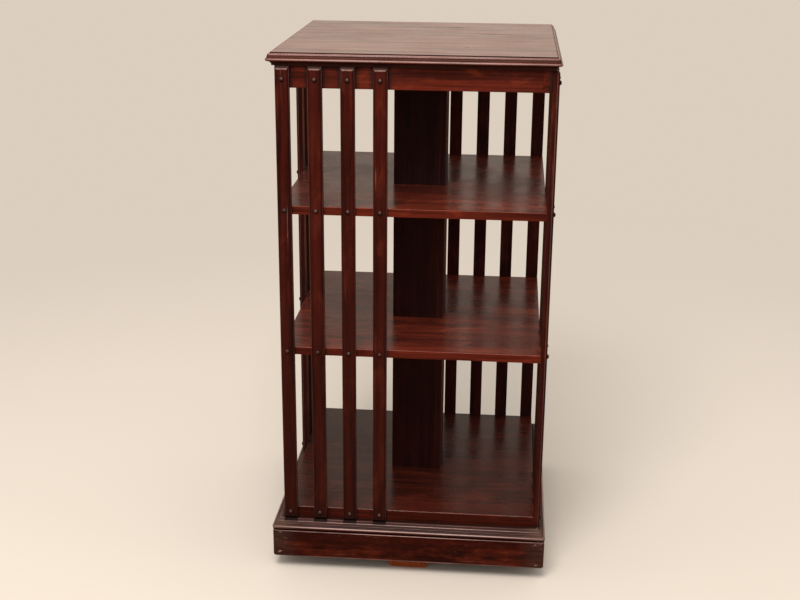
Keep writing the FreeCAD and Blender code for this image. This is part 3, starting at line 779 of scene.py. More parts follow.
# A corner starts where a point's lesser distance from the middle is this share of the greater.
CORNER_ZONE = 0.9
# At the corners the wear and the painted highlights fade to these shares of the rest.
TOP_CORNER_WEAR_AND_HIGHLIGHT = 0.55
BASE_CORNER_WEAR_AND_HIGHLIGHT = 0.4
SIDE_ANGLES = tuple(math.radians(angle) for angle in (-30, -15, 0, 15, 30))


class Outline:
    """A moulding's section: points of reach and height, each with its wear and painted highlight,
    and its soiling and painted shade.
    """

    def __init__(self):
        self.points = []

    def to(self, reach, height, worn=0.0, grime_and_shade=0.0):
        self.points.append((reach, height, worn, grime_and_shade))
        return self

    def arc(self, reach, height, radius, start, stop, worn=0.0, at=45.0, spread=45.0, grime_and_shade=0.0,
            steps=6):
        """An arc about a centre, in degrees, with wear and painted highlight strongest at one angle
        and none beyond its spread.
        """
        for step in range(steps + 1):
            degrees = start + (stop - start) * step / steps
            off = min(1.0, abs(degrees - at) / spread)
            angle = math.radians(degrees)
            self.to(reach + radius * math.cos(angle), height + radius * math.sin(angle),
                    worn * math.cos(off * math.pi / 2) ** 2, grime_and_shade)
        return self


def side_run(reach, corner):
    """Points of one side of a square ring, from mitre to mitre, on the front."""
    inner = reach - corner
    bends = [math.radians(45) * (1 - step / CORNER_STEPS) for step in range(CORNER_STEPS + 1)]
    left = [(-inner - corner * math.sin(bend), -inner - corner * math.cos(bend)) for bend in bends]
    middle = [(inner * math.tan(angle), -reach) for angle in SIDE_ANGLES]
    right = [(-x, y) for x, y in reversed(left)]
    return left + middle + right


def corner_at(reach, outline, sizes):
    """The rounding of an upright corner, which tightens inwards from the widest point."""
    widest = max(point[0] for point in outline)
    return max(sizes.inner_corner, sizes.corner - (widest - reach))


def round_run(radius):
    """As many points as side_run gives, on a quarter of a circle."""
    count = len(side_run(1.0, 0.1))
    angles = [math.radians(-135 + 90 * step / (count - 1)) for step in range(count)]
    return [(radius * math.cos(angle), radius * math.sin(angle)) for angle in angles]


def turned(points, quarter):
    for _ in range(quarter):
        points = [(-y, x) for x, y in points]
    return points


def whole_ring(run):
    """A closed ring from the front run and its three turns, without the repeated mitres."""
    return [point for quarter in range(4) for point in turned(run, quarter)[:-1]]


class Loft:
    """Rings of points joined one to the next, with wear and painted highlight, and soiling and
    painted shade, on each point.
    """

    def __init__(self):
        self.shape = bmesh.new()
        self.worn = self.shape.verts.layers.float.new("worn")
        self.grime_and_shade = self.shape.verts.layers.float.new("grime_and_shade")
        self.rings = []

    def point(self, place, worn, grime_and_shade):
        vertex = self.shape.verts.new(place)
        vertex[self.worn], vertex[self.grime_and_shade] = worn, grime_and_shade
        return vertex

    def ring(self, points, height, worn=0.0, grime_and_shade=0.0, corner_wear_and_highlight=1.0):
        """Adds a level ring, whose wear and painted highlight at the corners is only a share of the
        rest.
        """
        def wear(x, y):
            at_corner = min(abs(x), abs(y)) > CORNER_ZONE * max(abs(x), abs(y))
            return worn * corner_wear_and_highlight if at_corner else worn

        self.rings.append([self.point((x, y, height), wear(x, y), grime_and_shade) for x, y in points])

    def join(self, closed_ring, closed_loft):
        """Faces between neighbouring rings; closed_loft joins the last ring to the first.

        A ring of one point draws the faces together there.
        """
        rings = self.rings + self.rings[:1] if closed_loft else self.rings
        for lower, upper in zip(rings, rings[1:]):
            count = max(len(lower), len(upper))
            for start in range(count if closed_ring else count - 1):
                after = (start + 1) % count
                corners = [lower[start % len(lower)], lower[after % len(lower)],
                           upper[after % len(upper)], upper[start % len(upper)]]
                each_once = list(dict.fromkeys(corners))
                self.shape.faces.new(each_once)

    def cap(self, vertices):
        self.shape.faces.new(vertices)


def top_outline(sizes):
    """The top board's edge: cove, nosing, quirk, ovolo and the step to the flat.
    Painted shadow lies in the cove, painted shade in the quirk and on the step's riser, and painted
    highlights on the nosing and the ovolo.
    """
    reach, low, high = TOP_HIGH.x, TOP_LOW.z, TOP_HIGH.z
    cove, nosing, ovolo = sizes.top_cove, sizes.top_nosing, sizes.top_ovolo
    fillet, step, quirk, lip = 0.3 * MM, 2.0 * MM, 1.0 * MM, 1.2 * MM
    blend, ease, ledge, border = 0.4 * MM, 0.3 * MM, 0.8 * MM, 4.0 * MM
    middle = reach - nosing
    nosing_height = low + fillet + cove + nosing
    step_height = high - step
    ovolo_reach, ovolo_height = middle - quirk - ovolo, step_height - ovolo
    lip_height = ovolo_height - lip
    # Painted shadow in the cove, under the nosing.
    outline = Outline().to(middle - cove, low, grime_and_shade=1.0)
    outline.arc(middle, low + fillet, cove, 180, 90, grime_and_shade=0.8)
    # Painted highlight along the nosing's upper side.
    outline.arc(middle, nosing_height, nosing, -90, 90, worn=0.5, at=15, spread=45, steps=12)
    # Painted shade in the quirk between the nosing and the ovolo.
    outline.to(middle, nosing_height + nosing + blend, grime_and_shade=0.9)
    outline.to(middle, lip_height - blend, worn=0.15, grime_and_shade=0.3)
    outline.to(middle, lip_height, worn=0.2, grime_and_shade=0.3)
    outline.to(middle - quirk, lip_height, grime_and_shade=0.8)
    outline.to(ovolo_reach + ovolo, ovolo_height, grime_and_shade=0.6)
    # Painted reflection on the ovolo's upper part.
    outline.arc(ovolo_reach, ovolo_height, ovolo, 15, 75, worn=0.38, at=62, spread=42)
    # Painted shade on the step and its riser, a dark line along the edge.
    outline.to(ovolo_reach, step_height, grime_and_shade=0.8)
    outline.to(ovolo_reach - ease, step_height, grime_and_shade=1.0)
    outline.to(ovolo_reach - ledge, step_height, grime_and_shade=1.0)
    outline.to(ovolo_reach - ledge, high - ease, grime_and_shade=1.0)
    outline.to(ovolo_reach - ledge - ease, high, grime_and_shade=0.4)
    outline.to(ovolo_reach - border, high)
    return outline.points


def base_outline(sizes):
    """The base moulding's section, from its quirk up the coves and back inside.

    The quirk and the coves have painted shade, and the nosing a painted highlight.
    The arris between two hollows is pale with wear and painted highlight, the one in the middle
    most.
    Near the shelf the ledge darkens with soiling and painted shade.
    """
    low, high, reach = BASE_LOW.z, BASE_HIGH.z, -BASE_LOW.y
    inside = -BASE_HIGH.y
    cove, ledge, nosing = sizes.base_cove, sizes.base_ledge, sizes.base_nosing
    middle = reach - nosing
    quirk, quirk_height = middle - 2.3 * MM, 3.4 * MM
    drop, ease, rubbed_height, border = 1.0 * MM, 0.3 * MM, 0.5 * MM, 2.0 * MM
    first = middle - sizes.base_coves * (cove + ledge)
    # Painted shade in the quirk under the nosing.
    outline = Outline().to(quirk, low, grime_and_shade=1.0).to(quirk, low + quirk_height, grime_and_shade=1.0)
    outline.to(middle, low + quirk_height, grime_and_shade=1.0)
    # Painted highlight along the nosing.
    outline.arc(middle, low + quirk_height + nosing, nosing, -90, 90, worn=0.95, at=58,
                spread=38, steps=12)
    for turn in reversed(range(sizes.base_coves)):
        edge = first + turn * (cove + ledge)
        level = high - turn * (cove + drop)
        # Wear and painted highlight on the arrises between the coves; painted shade in the coves.
        rubbed_and_lit = 1.0 if turn == 1 else 0.25
        outline.to(edge + cove, level - drop - cove, grime_and_shade=0.3)
        outline.arc(edge + cove, level - drop, cove, -100, -165, grime_and_shade=0.4, steps=4)
        outline.to(edge, level - drop, worn=0.3 * rubbed_and_lit, grime_and_shade=0.2)
        outline.to(edge, level - rubbed_height, worn=rubbed_and_lit)
        outline.to(edge - ease, level, worn=rubbed_and_lit)
    # Soiling and painted shade on the ledge near the shelf's edge.
    shelf_edge, shade_starts, shade_full = -SHELF_LOW.y, 6.5 * MM, 3.5 * MM
    outline.to(first - border, high, grime_and_shade=0.2)
    outline.to(shelf_edge + shade_starts, high, grime_and_shade=0.5)
    outline.to(shelf_edge + shade_full, high, grime_and_shade=0.95)
    outline.to(inside, high, grime_and_shade=0.95)
    outline.to(inside, low)
    return outline.points


def plinth_outline(sizes):
    """The plinth's section: a plain board whose outer arrises are rounded and pale with wear.
    The upper arris has a painted highlight too, and the top under the moulding painted shade.
    """
    low, high = PLINTH_LOW.z, PLINTH_HIGH.z
    outside, inside, arris = -PLINTH_LOW.y, -PLINTH_HIGH.y, sizes.plinth_arris
    fade, bulge = 2.0 * MM, 0.3 * arris
    outline = Outline().to(inside, low).to(outside - arris - fade / 2, low)
    outline.to(outside - arris, low, worn=0.2)
    outline.to(outside - bulge, low + bulge, worn=0.5)
    outline.to(outside, low + arris, worn=0.4)
    outline.to(outside, low + arris + fade)
    outline.to(outside, high - arris - fade)
    # Wear and painted highlight on the upper arris; painted shade on the top under the moulding.
    outline.arc(outside - arris, high - arris, arris, 0, 90, worn=0.85)
    outline.to(outside - arris - fade / 2, high, grime_and_shade=0.9)
    outline.to(inside, high, grime_and_shade=0.9)
    return outline.points


def mitred_board(family, face, outline, sizes, maker):
    """One side of a moulded frame, mitred at both ends."""
    node = f"{family}_{face}"
    loft = Loft()
    for reach, height, worn, grime_and_shade in outline:
        run = side_run(reach, corner_at(reach, outline, sizes))
        loft.ring([(x - math.copysign(sizes.mitre_gap, x) if x else x, y) for x, y in run],
                  height, worn, grime_and_shade, BASE_CORNER_WEAR_AND_HIGHLIGHT)
    loft.join(closed_ring=False, closed_loft=True)
    loft.cap([ring[0] for ring in loft.rings])
    loft.cap([ring[-1] for ring in loft.rings])
    mesh = mesh_from(node, loft.shape)
    low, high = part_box(f"{family}_front")
    store_grain(mesh, board_tone(node), (0, 2, 1), (low + high) / 2)
    turn_to(face, mesh)
    complete(new_object(node + "_finished", mesh), maker, node)


def make_top_board(sizes):
    """The top with its moulded edge all round, in one piece."""
    loft, outline = Loft(), top_outline(sizes)
    for reach, height, worn, grime_and_shade in outline:
        run = side_run(reach, corner_at(reach, outline, sizes))
        loft.ring(whole_ring(run), height, worn, grime_and_shade, TOP_CORNER_WEAR_AND_HIGHLIGHT)
    loft.join(closed_ring=True, closed_loft=False)
    loft.cap(loft.rings[0])
    loft.cap(loft.rings[-1])
    mesh = mesh_from("top_board", loft.shape)
    store_grain(mesh, board_tone("top_board"), (0, 1, 2), (TOP_LOW + TOP_HIGH) / 2)
    complete(new_object("top_board_finished", mesh), top_mahogany, "top_board")


# ---- Shelves and straight boards ----

SPINDLE_CLEARANCE = 10.5 * MM
COLUMN_CORNER = 0.1 * MM


def make_shelf(node, opening_run, sizes, maker):
    """A square shelf with an opening in its middle for the column or the spindle."""
    low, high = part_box(node)
    arris = sizes.arris
    inner, outer = side_run(high.x - arris, arris), side_run(high.x, 2 * arris)
    loft = Loft()
    for run, height in ((opening_run, low.z), (inner, low.z), (outer, low.z + arris),
                        (outer, high.z - arris), (inner, high.z), (opening_run, high.z)):
        loft.ring(whole_ring(run), height)
    loft.join(closed_ring=True, closed_loft=True)
    mesh = mesh_from(node, loft.shape)
    store_grain(mesh, board_tone(node), (0, 1, 2), (low + high) / 2, (high - low) / 2)
    complete(new_object(node + "_finished", mesh), maker, node)


def eased(piece, width):
    """Rounds every arris of a piece a little."""
    bevel = piece.modifiers.new("Arris", "BEVEL")
    bevel.width = width
    bevel.segments = 2
    bevel.limit_method = "ANGLE"
    bevel.angle_limit = SHARP_ANGLE
    return piece


def ease_free_arrises(shape, low, high, width):
    """Rounds a front board's arrises, but not those that meet its neighbours at a joint."""
    def meets_neighbour(edge):
        first, second = (vertex.co for vertex in edge.verts)
        at_end = [abs(point.x - high.x) < width for point in (first, second)]
        at_back = [abs(point.x - low.x) + abs(point.y - high.y) < width
                   for point in (first, second)]
        return all(at_end) or all(at_back)

    free = [edge for edge in shape.edges if not meets_neighbour(edge)]
    bmesh.ops.bevel(shape, geom=free, offset=width, segments=2, profile=0.5, affect="EDGES")


def make_face_board(family, face, sizes, maker):
    """One of four like boards: the front one with eased arrises, turned to its own face."""
    node = f"{family}_{face}"
    low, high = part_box(f"{family}_front")
    shape = bmesh.new()
    bmesh.ops.create_cube(shape, size=1.0)
    for vertex in shape.verts:
        vertex.co = (low + high) / 2 + vertex.co * (high - low)
    ease_free_arrises(shape, low, high, sizes.arris)
    piece = new_object(node + "_finished", mesh_from(node, shape))
    store_plain_grain(piece.data, node, low, high)
    turn_to(face, piece.data)
    complete(piece, maker, node)


def make_eased_copy(node, sizes, maker):
    """A node's own shape with its arrises eased."""
    shape = bmesh.new()
    shape.from_mesh(frame["nodes"][node].data)
    bmesh.ops.remove_doubles(shape, verts=shape.verts, dist=CAD_MERGE_DISTANCE)
    bmesh.ops.dissolve_limit(shape, angle_limit=FLAT_ANGLE, verts=shape.verts, edges=shape.edges)
    piece = solid(eased(new_object(node + "_finished", to_mesh(node, shape)), 0.5 * sizes.arris))
    store_plain_grain(piece.data, node, *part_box(node))
    complete(piece, maker, node)


# ---- Slats and studs: Geometry Nodes ----

ROWS = "Rows On Four Faces"
ROW_INPUTS = {
    "Per Face": "NodeSocketInt",
    "First Centre": "NodeSocketFloat",
    "Pitch": "NodeSocketFloat",
    "Face Distance": "NodeSocketFloat",
    "Height": "NodeSocketFloat",
    "Spin": "NodeSocketFloat",
    "Seed": "NodeSocketInt",
    "Material": "NodeSocketMaterial",
}


def rows_tree():
    """A tree that stands copies of a shape in a row on each of the four faces."""
    group = bpy.data.node_groups.new(ROWS, "GeometryNodeTree")
    group.interface.new_socket("Geometry", in_out="INPUT", socket_type="NodeSocketGeometry")
    for name, kind in ROW_INPUTS.items():
        group.interface.new_socket(name, in_out="INPUT", socket_type=kind)
    group.interface.new_socket("Geometry", in_out="OUTPUT", socket_type="NodeSocketGeometry")
    tree = Tree(group.nodes, group.links)
    entry = group.nodes.new("NodeGroupInput")
    given = {socket.name: Wire(tree, socket) for socket in entry.outputs if socket.name}

    index = tree.add("GeometryNodeInputIndex")
    face = (index / given["Per Face"]).floor()
    along = given["First Centre"] + given["Pitch"] * (index % given["Per Face"])
    turn = face * QUARTER_TURN
    front = tree.combine(along, given["Face Distance"] * -1.0, given["Height"])
    stand = tree.add("ShaderNodeVectorRotate", {"rotation_type": "Z_AXIS"},
                     {"Vector": front, "Angle": turn})
    points = tree.add("GeometryNodePoints", {}, {"Count": given["Per Face"] * len(FACES),
                                                 "Position": stand})
    facing = tree.add("FunctionNodeAxisAngleToRotation", {},
                      {"Axis": (0.0, 0.0, 1.0), "Angle": turn})
    copies = tree.add("GeometryNodeInstanceOnPoints", {}, {
        "Points": points, "Instance": given["Geometry"], "Rotation": facing})
    spin = tree.add("FunctionNodeRandomValue", {"data_type": "FLOAT"},
                    {"Min": given["Spin"] * -1.0, "Max": given["Spin"], "Seed": given["Seed"]}, 1)
    lean = tree.combine(0.0, spin)
    copies = tree.add("GeometryNodeRotateInstances", {}, {"Instances": copies, "Rotation": lean})
    tone = tree.add("FunctionNodeRandomValue", {"data_type": "FLOAT"},
                    {"Seed": given["Seed"] + 1.0}, 1)
    copies = tree.add("GeometryNodeStoreNamedAttribute",
                      {"data_type": "FLOAT", "domain": "INSTANCE"},
                      {"Geometry": copies, "Name": "tone", "Value": tone})
    whole = tree.add("GeometryNodeRealizeInstances", {}, {"Geometry": copies})
    painted = tree.add("GeometryNodeSetMaterial", {},
                       {"Geometry": whole, "Material": given["Material"]})
    tree.add("NodeGroupOutput", {}, {0: painted})
    return group


def stand_in_rows(piece, face_distance, height, spin, seed, material):
    """Repeats the piece's shape on the four faces, then works the result into its mesh."""
    values = {"Per Face": SLATS_PER_FACE, "First Centre": SLAT_CENTRE, "Pitch": SLAT_PITCH,
              "Face Distance": face_distance, "Height": height, "Spin": spin, "Seed": seed,
              "Material": material}
    group = bpy.data.node_groups.get(ROWS) or rows_tree()
    modifier = piece.modifiers.new(ROWS, "NODES")
    modifier.node_group = group
    for item in group.interface.items_tree:
        if item.in_out == "INPUT" and item.name in values:
            modifier[item.identifier] = values[item.name]
    return solid(piece)


def slat_section(sizes):
    """Half the outline of a slat across its width: points of breadth, depth, wear with painted
    highlight, and painted shade.
    """
    half, depth, chamfer = SLAT_HALF, SLAT_HIGH.y - SLAT_LOW.y, sizes.slat_chamfer
    line, wide = 0.4 * MM, 1.4 * MM
    # The chamfers are darkened with painted shade; the arrises beside them carry thin lines of wear
    # and painted highlight.
    return (
        (half - line, 0.0, 0.0, 0.0), (half, line, 0.0, 0.0),
        (half, depth - sizes.slat_end_bevel, 0.0, 0.0), (half, depth - chamfer - wide, 0.0, 0.0),
        (half, depth - chamfer - line, 0.16, 0.0), (half - line, depth - chamfer + line, 0.16, 0.1),
        (half - wide, depth - chamfer + wide, 0.0, 0.2),
        (half - chamfer + wide, depth - wide, 0.0, 0.35),
        (half - chamfer + line, depth - line, 0.0, 0.35),
        (half - chamfer - line, depth, 0.0, 0.05), (half - chamfer - wide, depth, 0.0, 0.0),
    )


# The lower rings darken the slat's foot and, fading upwards, its lower part with painted shade and
# soiling.
SLAT_RINGS = (
    # on the upper end, distance from the end, soiling and painted shade, wear and painted highlight
    # of the bevel
    (False, 0.0, 1.0, 0.0),
    (False, 1.5 * MM, 0.75, 0.0),
    (False, 20.0 * MM, 0.45, 0.0),
    (True, 14.0 * MM, 0.0, 0.0),
    (True, 1.0 * MM, 0.05, 0.0),
    (True, 0.0, 0.05, 0.5),
)


def slat_shape(sizes):
    """One slat standing on the origin, its back against y 0 and its front towards -Y.

    Both ends are bevelled. The upper bevel is pale along its lower part with wear and a painted
    highlight, and has painted shadow above that. The lower bevel is darkened with painted shadow
    and soiling, the chamfers with painted shade, and the slat darkens downwards with painted shade.
    """
    height, bevel = SLAT_HIGH.z - SLAT_LOW.z, sizes.slat_end_bevel
    back = SLAT_HIGH.y - SLAT_LOW.y - bevel
    right = slat_section(sizes)
    left = [(-x, *rest) for x, *rest in reversed(right)]
    loft = Loft()
    for upper, level, grime_and_shade, bevel_wear_and_highlight in SLAT_RINGS:
        ring = []
        for x, y, arris_wear_and_highlight, dirt_and_shade in (*right, *left):
            cut = max(0.0, y - back) / bevel
            z = height - bevel * cut - level if upper else bevel * cut + level
            # Wear and painted highlight along the upper bevel's lower part, painted shadow above
            # it.
            rubbed_and_lit = min(1.0, max(0.0, 5.0 * cut - 3.0))
            bevel_shadow = 1.4 * bevel_wear_and_highlight * (1.0 - rubbed_and_lit)
            ring.append(loft.point((x, -y, z), max(bevel_wear_and_highlight * rubbed_and_lit, arris_wear_and_highlight),
                                   max(dirt_and_shade * (1.0 - bevel_wear_and_highlight), grime_and_shade, bevel_shadow)))
        loft.rings.append(ring)
    loft.join(closed_ring=True, closed_loft=False)
    for ring in (loft.rings[0], loft.rings[-1]):
        for here in range(len(right) - 1):
            loft.cap((ring[here], ring[here + 1], ring[-2 - here], ring[-1 - here]))
    mesh = mesh_from("slat", loft.shape)
    store_grain(mesh, None, (2, 0, 1), Vector((0.0, 0.0, height / 2)))
    return mesh


def make_slats(sizes):
    nodes = [f"slat_{face}_{place + 1}" for face in FACES for place in range(SLATS_PER_FACE)]
    piece = smooth(new_object("slats_finished", slat_shape(sizes)))
    stand_in_rows(piece, face_distance=-SLAT_HIGH.y, height=SLAT_LOW.z, spin=0.0, seed=31,
                  material=made_once(slat_mahogany))
    seat(piece, nodes)


def lathe(name, profile, segments, lower_shade):
    """A turned shape about the Y axis, closed at its ends, from points of radius, y, wear with
    painted highlight, and soiling with painted shade.

    Its lower side gets more painted shade, and its upper side less, by the given share.
    """
    loft = Loft()
    for radius, y, worn, grime_and_shade in profile:
        ring = []
        for step in range(segments if radius > 0 else 1):
            angle = 2 * math.pi * step / segments
            # Painted shade, heavier on the lower side.
            dirt_and_shade = min(1.0, max(0.0, grime_and_shade - lower_shade * math.sin(angle)))
            place = (radius * math.cos(angle), y, radius * math.sin(angle))
            ring.append(loft.point(place, worn, dirt_and_shade))
        loft.rings.append(ring)
    loft.join(closed_ring=True, closed_loft=False)
    return mesh_from(name, loft.shape)


STUD_SEGMENTS = 16
STUD_SPIN = math.radians(25)
# The rim is a dark ring of painted shade and soiling round the stud's seat.
STUD_RIM = (
    # share of the radius, share of the height, painted shade and soiling
    (0.96, 0.0, 1.0),
    (1.0, 0.06, 1.0),
    (0.97, 0.22, 0.8),
)
# Where the dome starts, in degrees up from its rim, and its steps from there to the crown.
DOME_START = 15
DOME_STEPS = 5


def stud_shape(sizes):
    """A domed stud, its seat at y 0, its dome towards -Y and its shank behind."""
    radius, height = (STUD_HIGH.z - STUD_LOW.z) / 2, SLAT_LOW.y - STUD_LOW.y
    shank = sizes.stud_shank / 2
    profile = [(0.0, sizes.stud_grip, 0.0, 0.0), (shank, sizes.stud_grip - shank, 0.0, 0.0),
               (shank, 0.0, 0.0, 0.0)]
    profile += [(radius * across, -height * up, 0.0, grime_and_shade) for across, up, grime_and_shade in STUD_RIM]
    for step in range(1, DOME_STEPS):
        angle = math.radians(DOME_START + (90 - DOME_START) * step / DOME_STEPS)
        # Painted shade fades up the dome, and the crown grows paler with wear and a painted
        # highlight.
        worn, grime_and_shade = 0.03 * step, max(0.1, 0.8 - 0.18 * step)
        profile.append((radius * math.cos(angle), -height * math.sin(angle), worn, grime_and_shade))
    profile.append((0.0, -height, 0.15, 0.1))
    return lathe("stud", profile, STUD_SEGMENTS, lower_shade=0.5)


def make_studs(row, seed, sizes):
    low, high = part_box(row)
    piece = smooth(new_object(row + "_finished", stud_shape(sizes)))
    stand_in_rows(piece, face_distance=-SLAT_LOW.y, height=(low.z + high.z) / 2, spin=STUD_SPIN,
                  seed=seed, material=made_once(stud_metal))
    seat(piece, [row])


# ---- Operators ----


class BOOKCASE_OT_studio(bpy.types.Operator):
    """Make the floor, the lights, the backdrop and the camera"""

    bl_idname = "bookcase.studio"
    bl_label = "Studio"
    bl_options = {"REGISTER", "UNDO"}

    def execute(self, context):
        scene = context.scene
        scene.view_settings.view_transform = "Standard"
        make_floor(scene.bookcase_colours, scene.bookcase_studio)
        light_world(scene.world or bpy.data.worlds.new("Studio"), scene)
        make_key_lamp(scene.bookcase_studio)
        scene.camera = make_camera(scene.bookcase_studio)
        return {"FINISHED"}


class BOOKCASE_OT_top(bpy.types.Operator):
    """Make the moulded top board"""

    bl_idname = "bookcase.top"
    bl_label = "Top Board"
    bl_options = {"REGISTER", "UNDO"}

    def execute(self, context):
        sizes = context.scene.bookcase_sizes
        make_top_board(sizes)
        return {"FINISHED"}


class BOOKCASE_OT_frieze(bpy.types.Operator):
    """Make the four rails under the top"""

    bl_idname = "bookcase.frieze"
    bl_label = "Frieze Rails"
    bl_options = {"REGISTER", "UNDO"}

    def execute(self, context):
        sizes = context.scene.bookcase_sizes
        for face in FACES:
            make_face_board("frieze", face, sizes, frieze_mahogany)
        return {"FINISHED"}


class BOOKCASE_OT_shelves(bpy.types.Operator):
    """Make the three shelves"""

    bl_idname = "bookcase.shelves"
    bl_label = "Shelves"
    bl_options = {"REGISTER", "UNDO"}

    def execute(self, context):
        sizes = context.scene.bookcase_sizes
        column = side_run(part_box("column_right")[1].x, COLUMN_CORNER)
        make_shelf("shelf_upper", column, sizes, shelf_mahogany)
        make_shelf("shelf_middle", column, sizes, shelf_mahogany)
        spindle_way = round_run(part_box("spindle")[1].x + SPINDLE_CLEARANCE)
        make_shelf("shelf_bottom", spindle_way, sizes, shaded_bottom_shelf_mahogany)
        return {"FINISHED"}


class BOOKCASE_OT_column(bpy.types.Operator):
    """Make the hollow column round the spindle"""

    bl_idname = "bookcase.column"
    bl_label = "Column Boards"
    bl_options = {"REGISTER", "UNDO"}

    def execute(self, context):
        sizes = context.scene.bookcase_sizes
        for face in FACES:
            make_face_board("column", face, sizes, shaded_column_mahogany)
        return {"FINISHED"}


class BOOKCASE_OT_slats(bpy.types.Operator):
    """Make the sixteen slats"""

    bl_idname = "bookcase.slats"
    bl_label = "Slats"
    bl_options = {"REGISTER", "UNDO"}

    def execute(self, context):
        sizes = context.scene.bookcase_sizes
        make_slats(sizes)
        return {"FINISHED"}


class BOOKCASE_OT_studs(bpy.types.Operator):
    """Make the four rows of studs"""

    bl_idname = "bookcase.studs"
    bl_label = "Studs"
    bl_options = {"REGISTER", "UNDO"}

    def execute(self, context):
        sizes = context.scene.bookcase_sizes
        rows = ("studs_frieze", "studs_upper_shelf", "studs_middle_shelf", "studs_bottom_shelf")
        for seed, row in enumerate(rows, start=11):
            make_studs(row, seed, sizes)
        return {"FINISHED"}


class BOOKCASE_OT_base(bpy.types.Operator):
    """Make the base moulding and the plinth"""

    bl_idname = "bookcase.base"
    bl_label = "Base Moulding and Plinth"
    bl_options = {"REGISTER", "UNDO"}

    def execute(self, context):
        sizes = context.scene.bookcase_sizes
        for face in FACES:
            mitred_board("base_moulding", face, base_outline(sizes), sizes, base_mahogany)
            mitred_board("plinth", face, plinth_outline(sizes), sizes, plinth_mahogany)
        return {"FINISHED"}


class BOOKCASE_OT_inner_woodwork(bpy.types.Operator):
    """Make the blocks, the bridge and the bearer inside"""

    bl_idname = "bookcase.inner_woodwork"
    bl_label = "Inner Woodwork"
    bl_options = {"REGISTER", "UNDO"}

    def execute(self, context):
        sizes = context.scene.bookcase_sizes
        for node in ("plinth_corner_blocks", "top_corner_blocks", "pivot_bridge", "lower_bearer"):
            make_eased_copy(node, sizes, inner_pine)
        return {"FINISHED"}


class BOOKCASE_OT_pivot(bpy.types.Operator):
    """Make the spindle, its iron fittings and their screws"""

    bl_idname = "bookcase.pivot"
    bl_label = "Pivot"
    bl_options = {"REGISTER", "UNDO"}

    def execute(self, context):
        sizes = context.scene.bookcase_sizes
        for node in ("upper_socket", "lower_bearing", "foot_flange"):
            make_eased_copy(node, sizes, cast_iron)
        for node in ("upper_socket_screws", "lower_bearing_screws", "foot_flange_screws"):
            make_eased_copy(node, sizes, turned_steel)
        make_eased_copy("spindle", sizes, turned_steel)
        return {"FINISHED"}


class BOOKCASE_OT_foot(bpy.types.Operator):
    """Make the two beams of the cross foot"""

    bl_idname = "bookcase.foot"
    bl_label = "Cross Foot"
    bl_options = {"REGISTER", "UNDO"}

    def execute(self, context):
        sizes = context.scene.bookcase_sizes
        for node in ("foot_arm_x", "foot_arm_y"):
            make_eased_copy(node, sizes, foot_wood)
        return {"FINISHED"}


# ---- Studio ----


FLOOR_REACH = 40.0
FILM_WIDTH = 36.0
KEY_PLACE = (-0.35, -2.2, 3.3)
KEY_AIM = (0.0, 0.0, 0.6)
# How far back or up a mirrored ray points where the pale wall and ceiling start and are full.
WALL_START, WALL_FULL = -0.05, 0.55


def make_floor(colours, studio):
    """A pale floor that keeps the shadow near the bookcase and fades into the backdrop."""
    shape = bmesh.new()
    bmesh.ops.create_grid(shape, x_segments=1, y_segments=1, size=FLOOR_REACH)
    floor = new_object("floor", mesh_from("floor", shape))
    finish = Finish("studio_floor")
    distance = finish.distance(finish.add("ShaderNodeTexCoord", out="Object"))
    camera_ray = finish.add("ShaderNodeLightPath", out="Is Camera Ray")
    colour = finish.mix(camera_ray, colours.bounce, colours.backdrop)
    finish.give(Base_Color=colour, Roughness=1.0, Specular_IOR_Level=0.0)
    glow = finish.add("ShaderNodeEmission", {}, {"Color": (*colours.backdrop, 1.0)})
    fade = distance.step(studio.sweep_start, studio.sweep_end) * camera_ray
    sweep = finish.add("ShaderNodeMixShader", {}, {0: fade, 1: finish.surface, 2: glow})
    finish.show(sweep)
    floor.data.materials.append(finish.material)


def light_world(world, scene):
    """Even light all round; polish mirrors a pale wall and ceiling, and a dim room in front."""
    scene.world = world
    world.use_nodes = True
    world.node_tree.nodes.clear()
    tree = Tree(world.node_tree.nodes, world.node_tree.links)
    backdrop, studio = (*scene.bookcase_colours.backdrop, 1.0), scene.bookcase_studio
    direction = tree.add("ShaderNodeTexCoord", out="Generated")
    behind = direction.part("Y").most(direction.part("Z"))
    mirrored = behind.step(WALL_START, WALL_FULL, studio.room, studio.glow)
    camera_ray = tree.add("ShaderNodeLightPath", out="Is Camera Ray")
    glossy_ray = tree.add("ShaderNodeLightPath", out="Is Glossy Ray")
    pale = tree.add("ShaderNodeBackground", {}, {"Color": backdrop,
                                                 "Strength": camera_ray + glossy_ray * mirrored})
    even = tree.add("ShaderNodeBackground", {}, {"Strength": studio.ambient,
                                                 "Color": (1.0, 1.0, 1.0, 1.0)})
    seen = camera_ray.most(glossy_ray)
    sky = tree.add("ShaderNodeMixShader", {}, {0: seen, 1: even, 2: pale})
    tree.add("ShaderNodeOutputWorld", {}, {"Surface": sky})


def make_key_lamp(studio):
    """The large soft lamp, in front of the bookcase and above it."""
    lamp = bpy.data.lights.new("key", "AREA")
    lamp.size = studio.key_size
    lamp.energy = studio.key_watts
    key = new_object("key", lamp)
    key.location = KEY_PLACE
    aim = Vector(KEY_AIM) - key.location
    key.rotation_euler = aim.to_track_quat("-Z", "Y").to_euler()


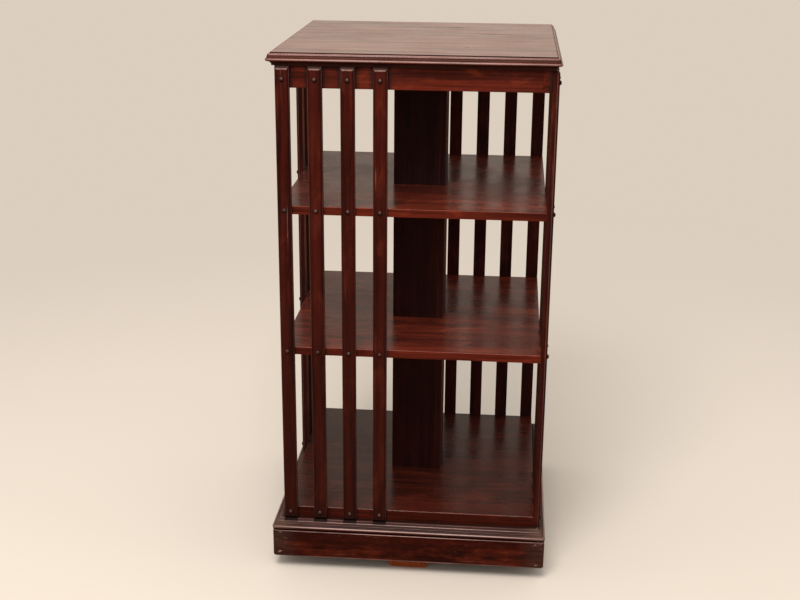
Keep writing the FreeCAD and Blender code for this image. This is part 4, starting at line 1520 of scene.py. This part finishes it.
def make_camera(studio):
    """The camera at its place, turned by its yaw, its pitch and then its roll."""
    camera = bpy.data.cameras.new("camera")
    camera.sensor_width = FILM_WIDTH
    camera.lens = studio.lens
    stand = new_object("camera", camera)
    yaw, pitch, roll = studio.camera_yaw, studio.camera_pitch, studio.camera_roll
    forward = Vector((math.sin(yaw) * math.cos(pitch), math.cos(yaw) * math.cos(pitch),
                      -math.sin(pitch)))
    right = Vector((math.cos(yaw), -math.sin(yaw), 0.0))
    up = right.cross(forward)
    across = right * math.cos(roll) + up * math.sin(roll)
    upright = up * math.cos(roll) - right * math.sin(roll)
    turn = Matrix((across, upright, -forward)).transposed().to_4x4()
    stand.matrix_world = Matrix.Translation(studio.camera_place) @ turn
    return stand


# ---- Panel and registration ----

PIECE_OPERATORS = (
    BOOKCASE_OT_top, BOOKCASE_OT_frieze, BOOKCASE_OT_shelves, BOOKCASE_OT_column,
    BOOKCASE_OT_slats, BOOKCASE_OT_studs, BOOKCASE_OT_base, BOOKCASE_OT_inner_woodwork,
    BOOKCASE_OT_pivot, BOOKCASE_OT_foot,
)


class BOOKCASE_PT_panel(bpy.types.Panel):
    """The steps that finish the bookcase"""

    bl_label = "Bookcase"
    bl_idname = "BOOKCASE_PT_panel"
    bl_space_type = "VIEW_3D"
    bl_region_type = "UI"
    bl_category = "Bookcase"

    def draw(self, context):
        for operator in (BOOKCASE_OT_studio, *PIECE_OPERATORS):
            self.layout.operator(operator.bl_idname)


SETTINGS = {
    "bookcase_sizes": BookcaseSizes,
    "bookcase_colours": BookcaseColours,
    "bookcase_studio": BookcaseStudio,
}
CLASSES = (*SETTINGS.values(), BOOKCASE_OT_studio, *PIECE_OPERATORS, BOOKCASE_PT_panel)


def register():
    for part in CLASSES:
        bpy.utils.register_class(part)
    for name, group in SETTINGS.items():
        setattr(bpy.types.Scene, name, PointerProperty(type=group))


def unregister():
    for name in SETTINGS:
        delattr(bpy.types.Scene, name)
    for part in reversed(CLASSES):
        bpy.utils.unregister_class(part)


def main():
    """Makes the studio and every piece."""
    register()
    bpy.ops.bookcase.studio()
    bpy.ops.bookcase.top()
    bpy.ops.bookcase.frieze()
    bpy.ops.bookcase.shelves()
    bpy.ops.bookcase.column()
    bpy.ops.bookcase.slats()
    bpy.ops.bookcase.studs()
    bpy.ops.bookcase.base()
    bpy.ops.bookcase.inner_woodwork()
    bpy.ops.bookcase.pivot()
    bpy.ops.bookcase.foot()


if __name__ == "__main__":
    main()
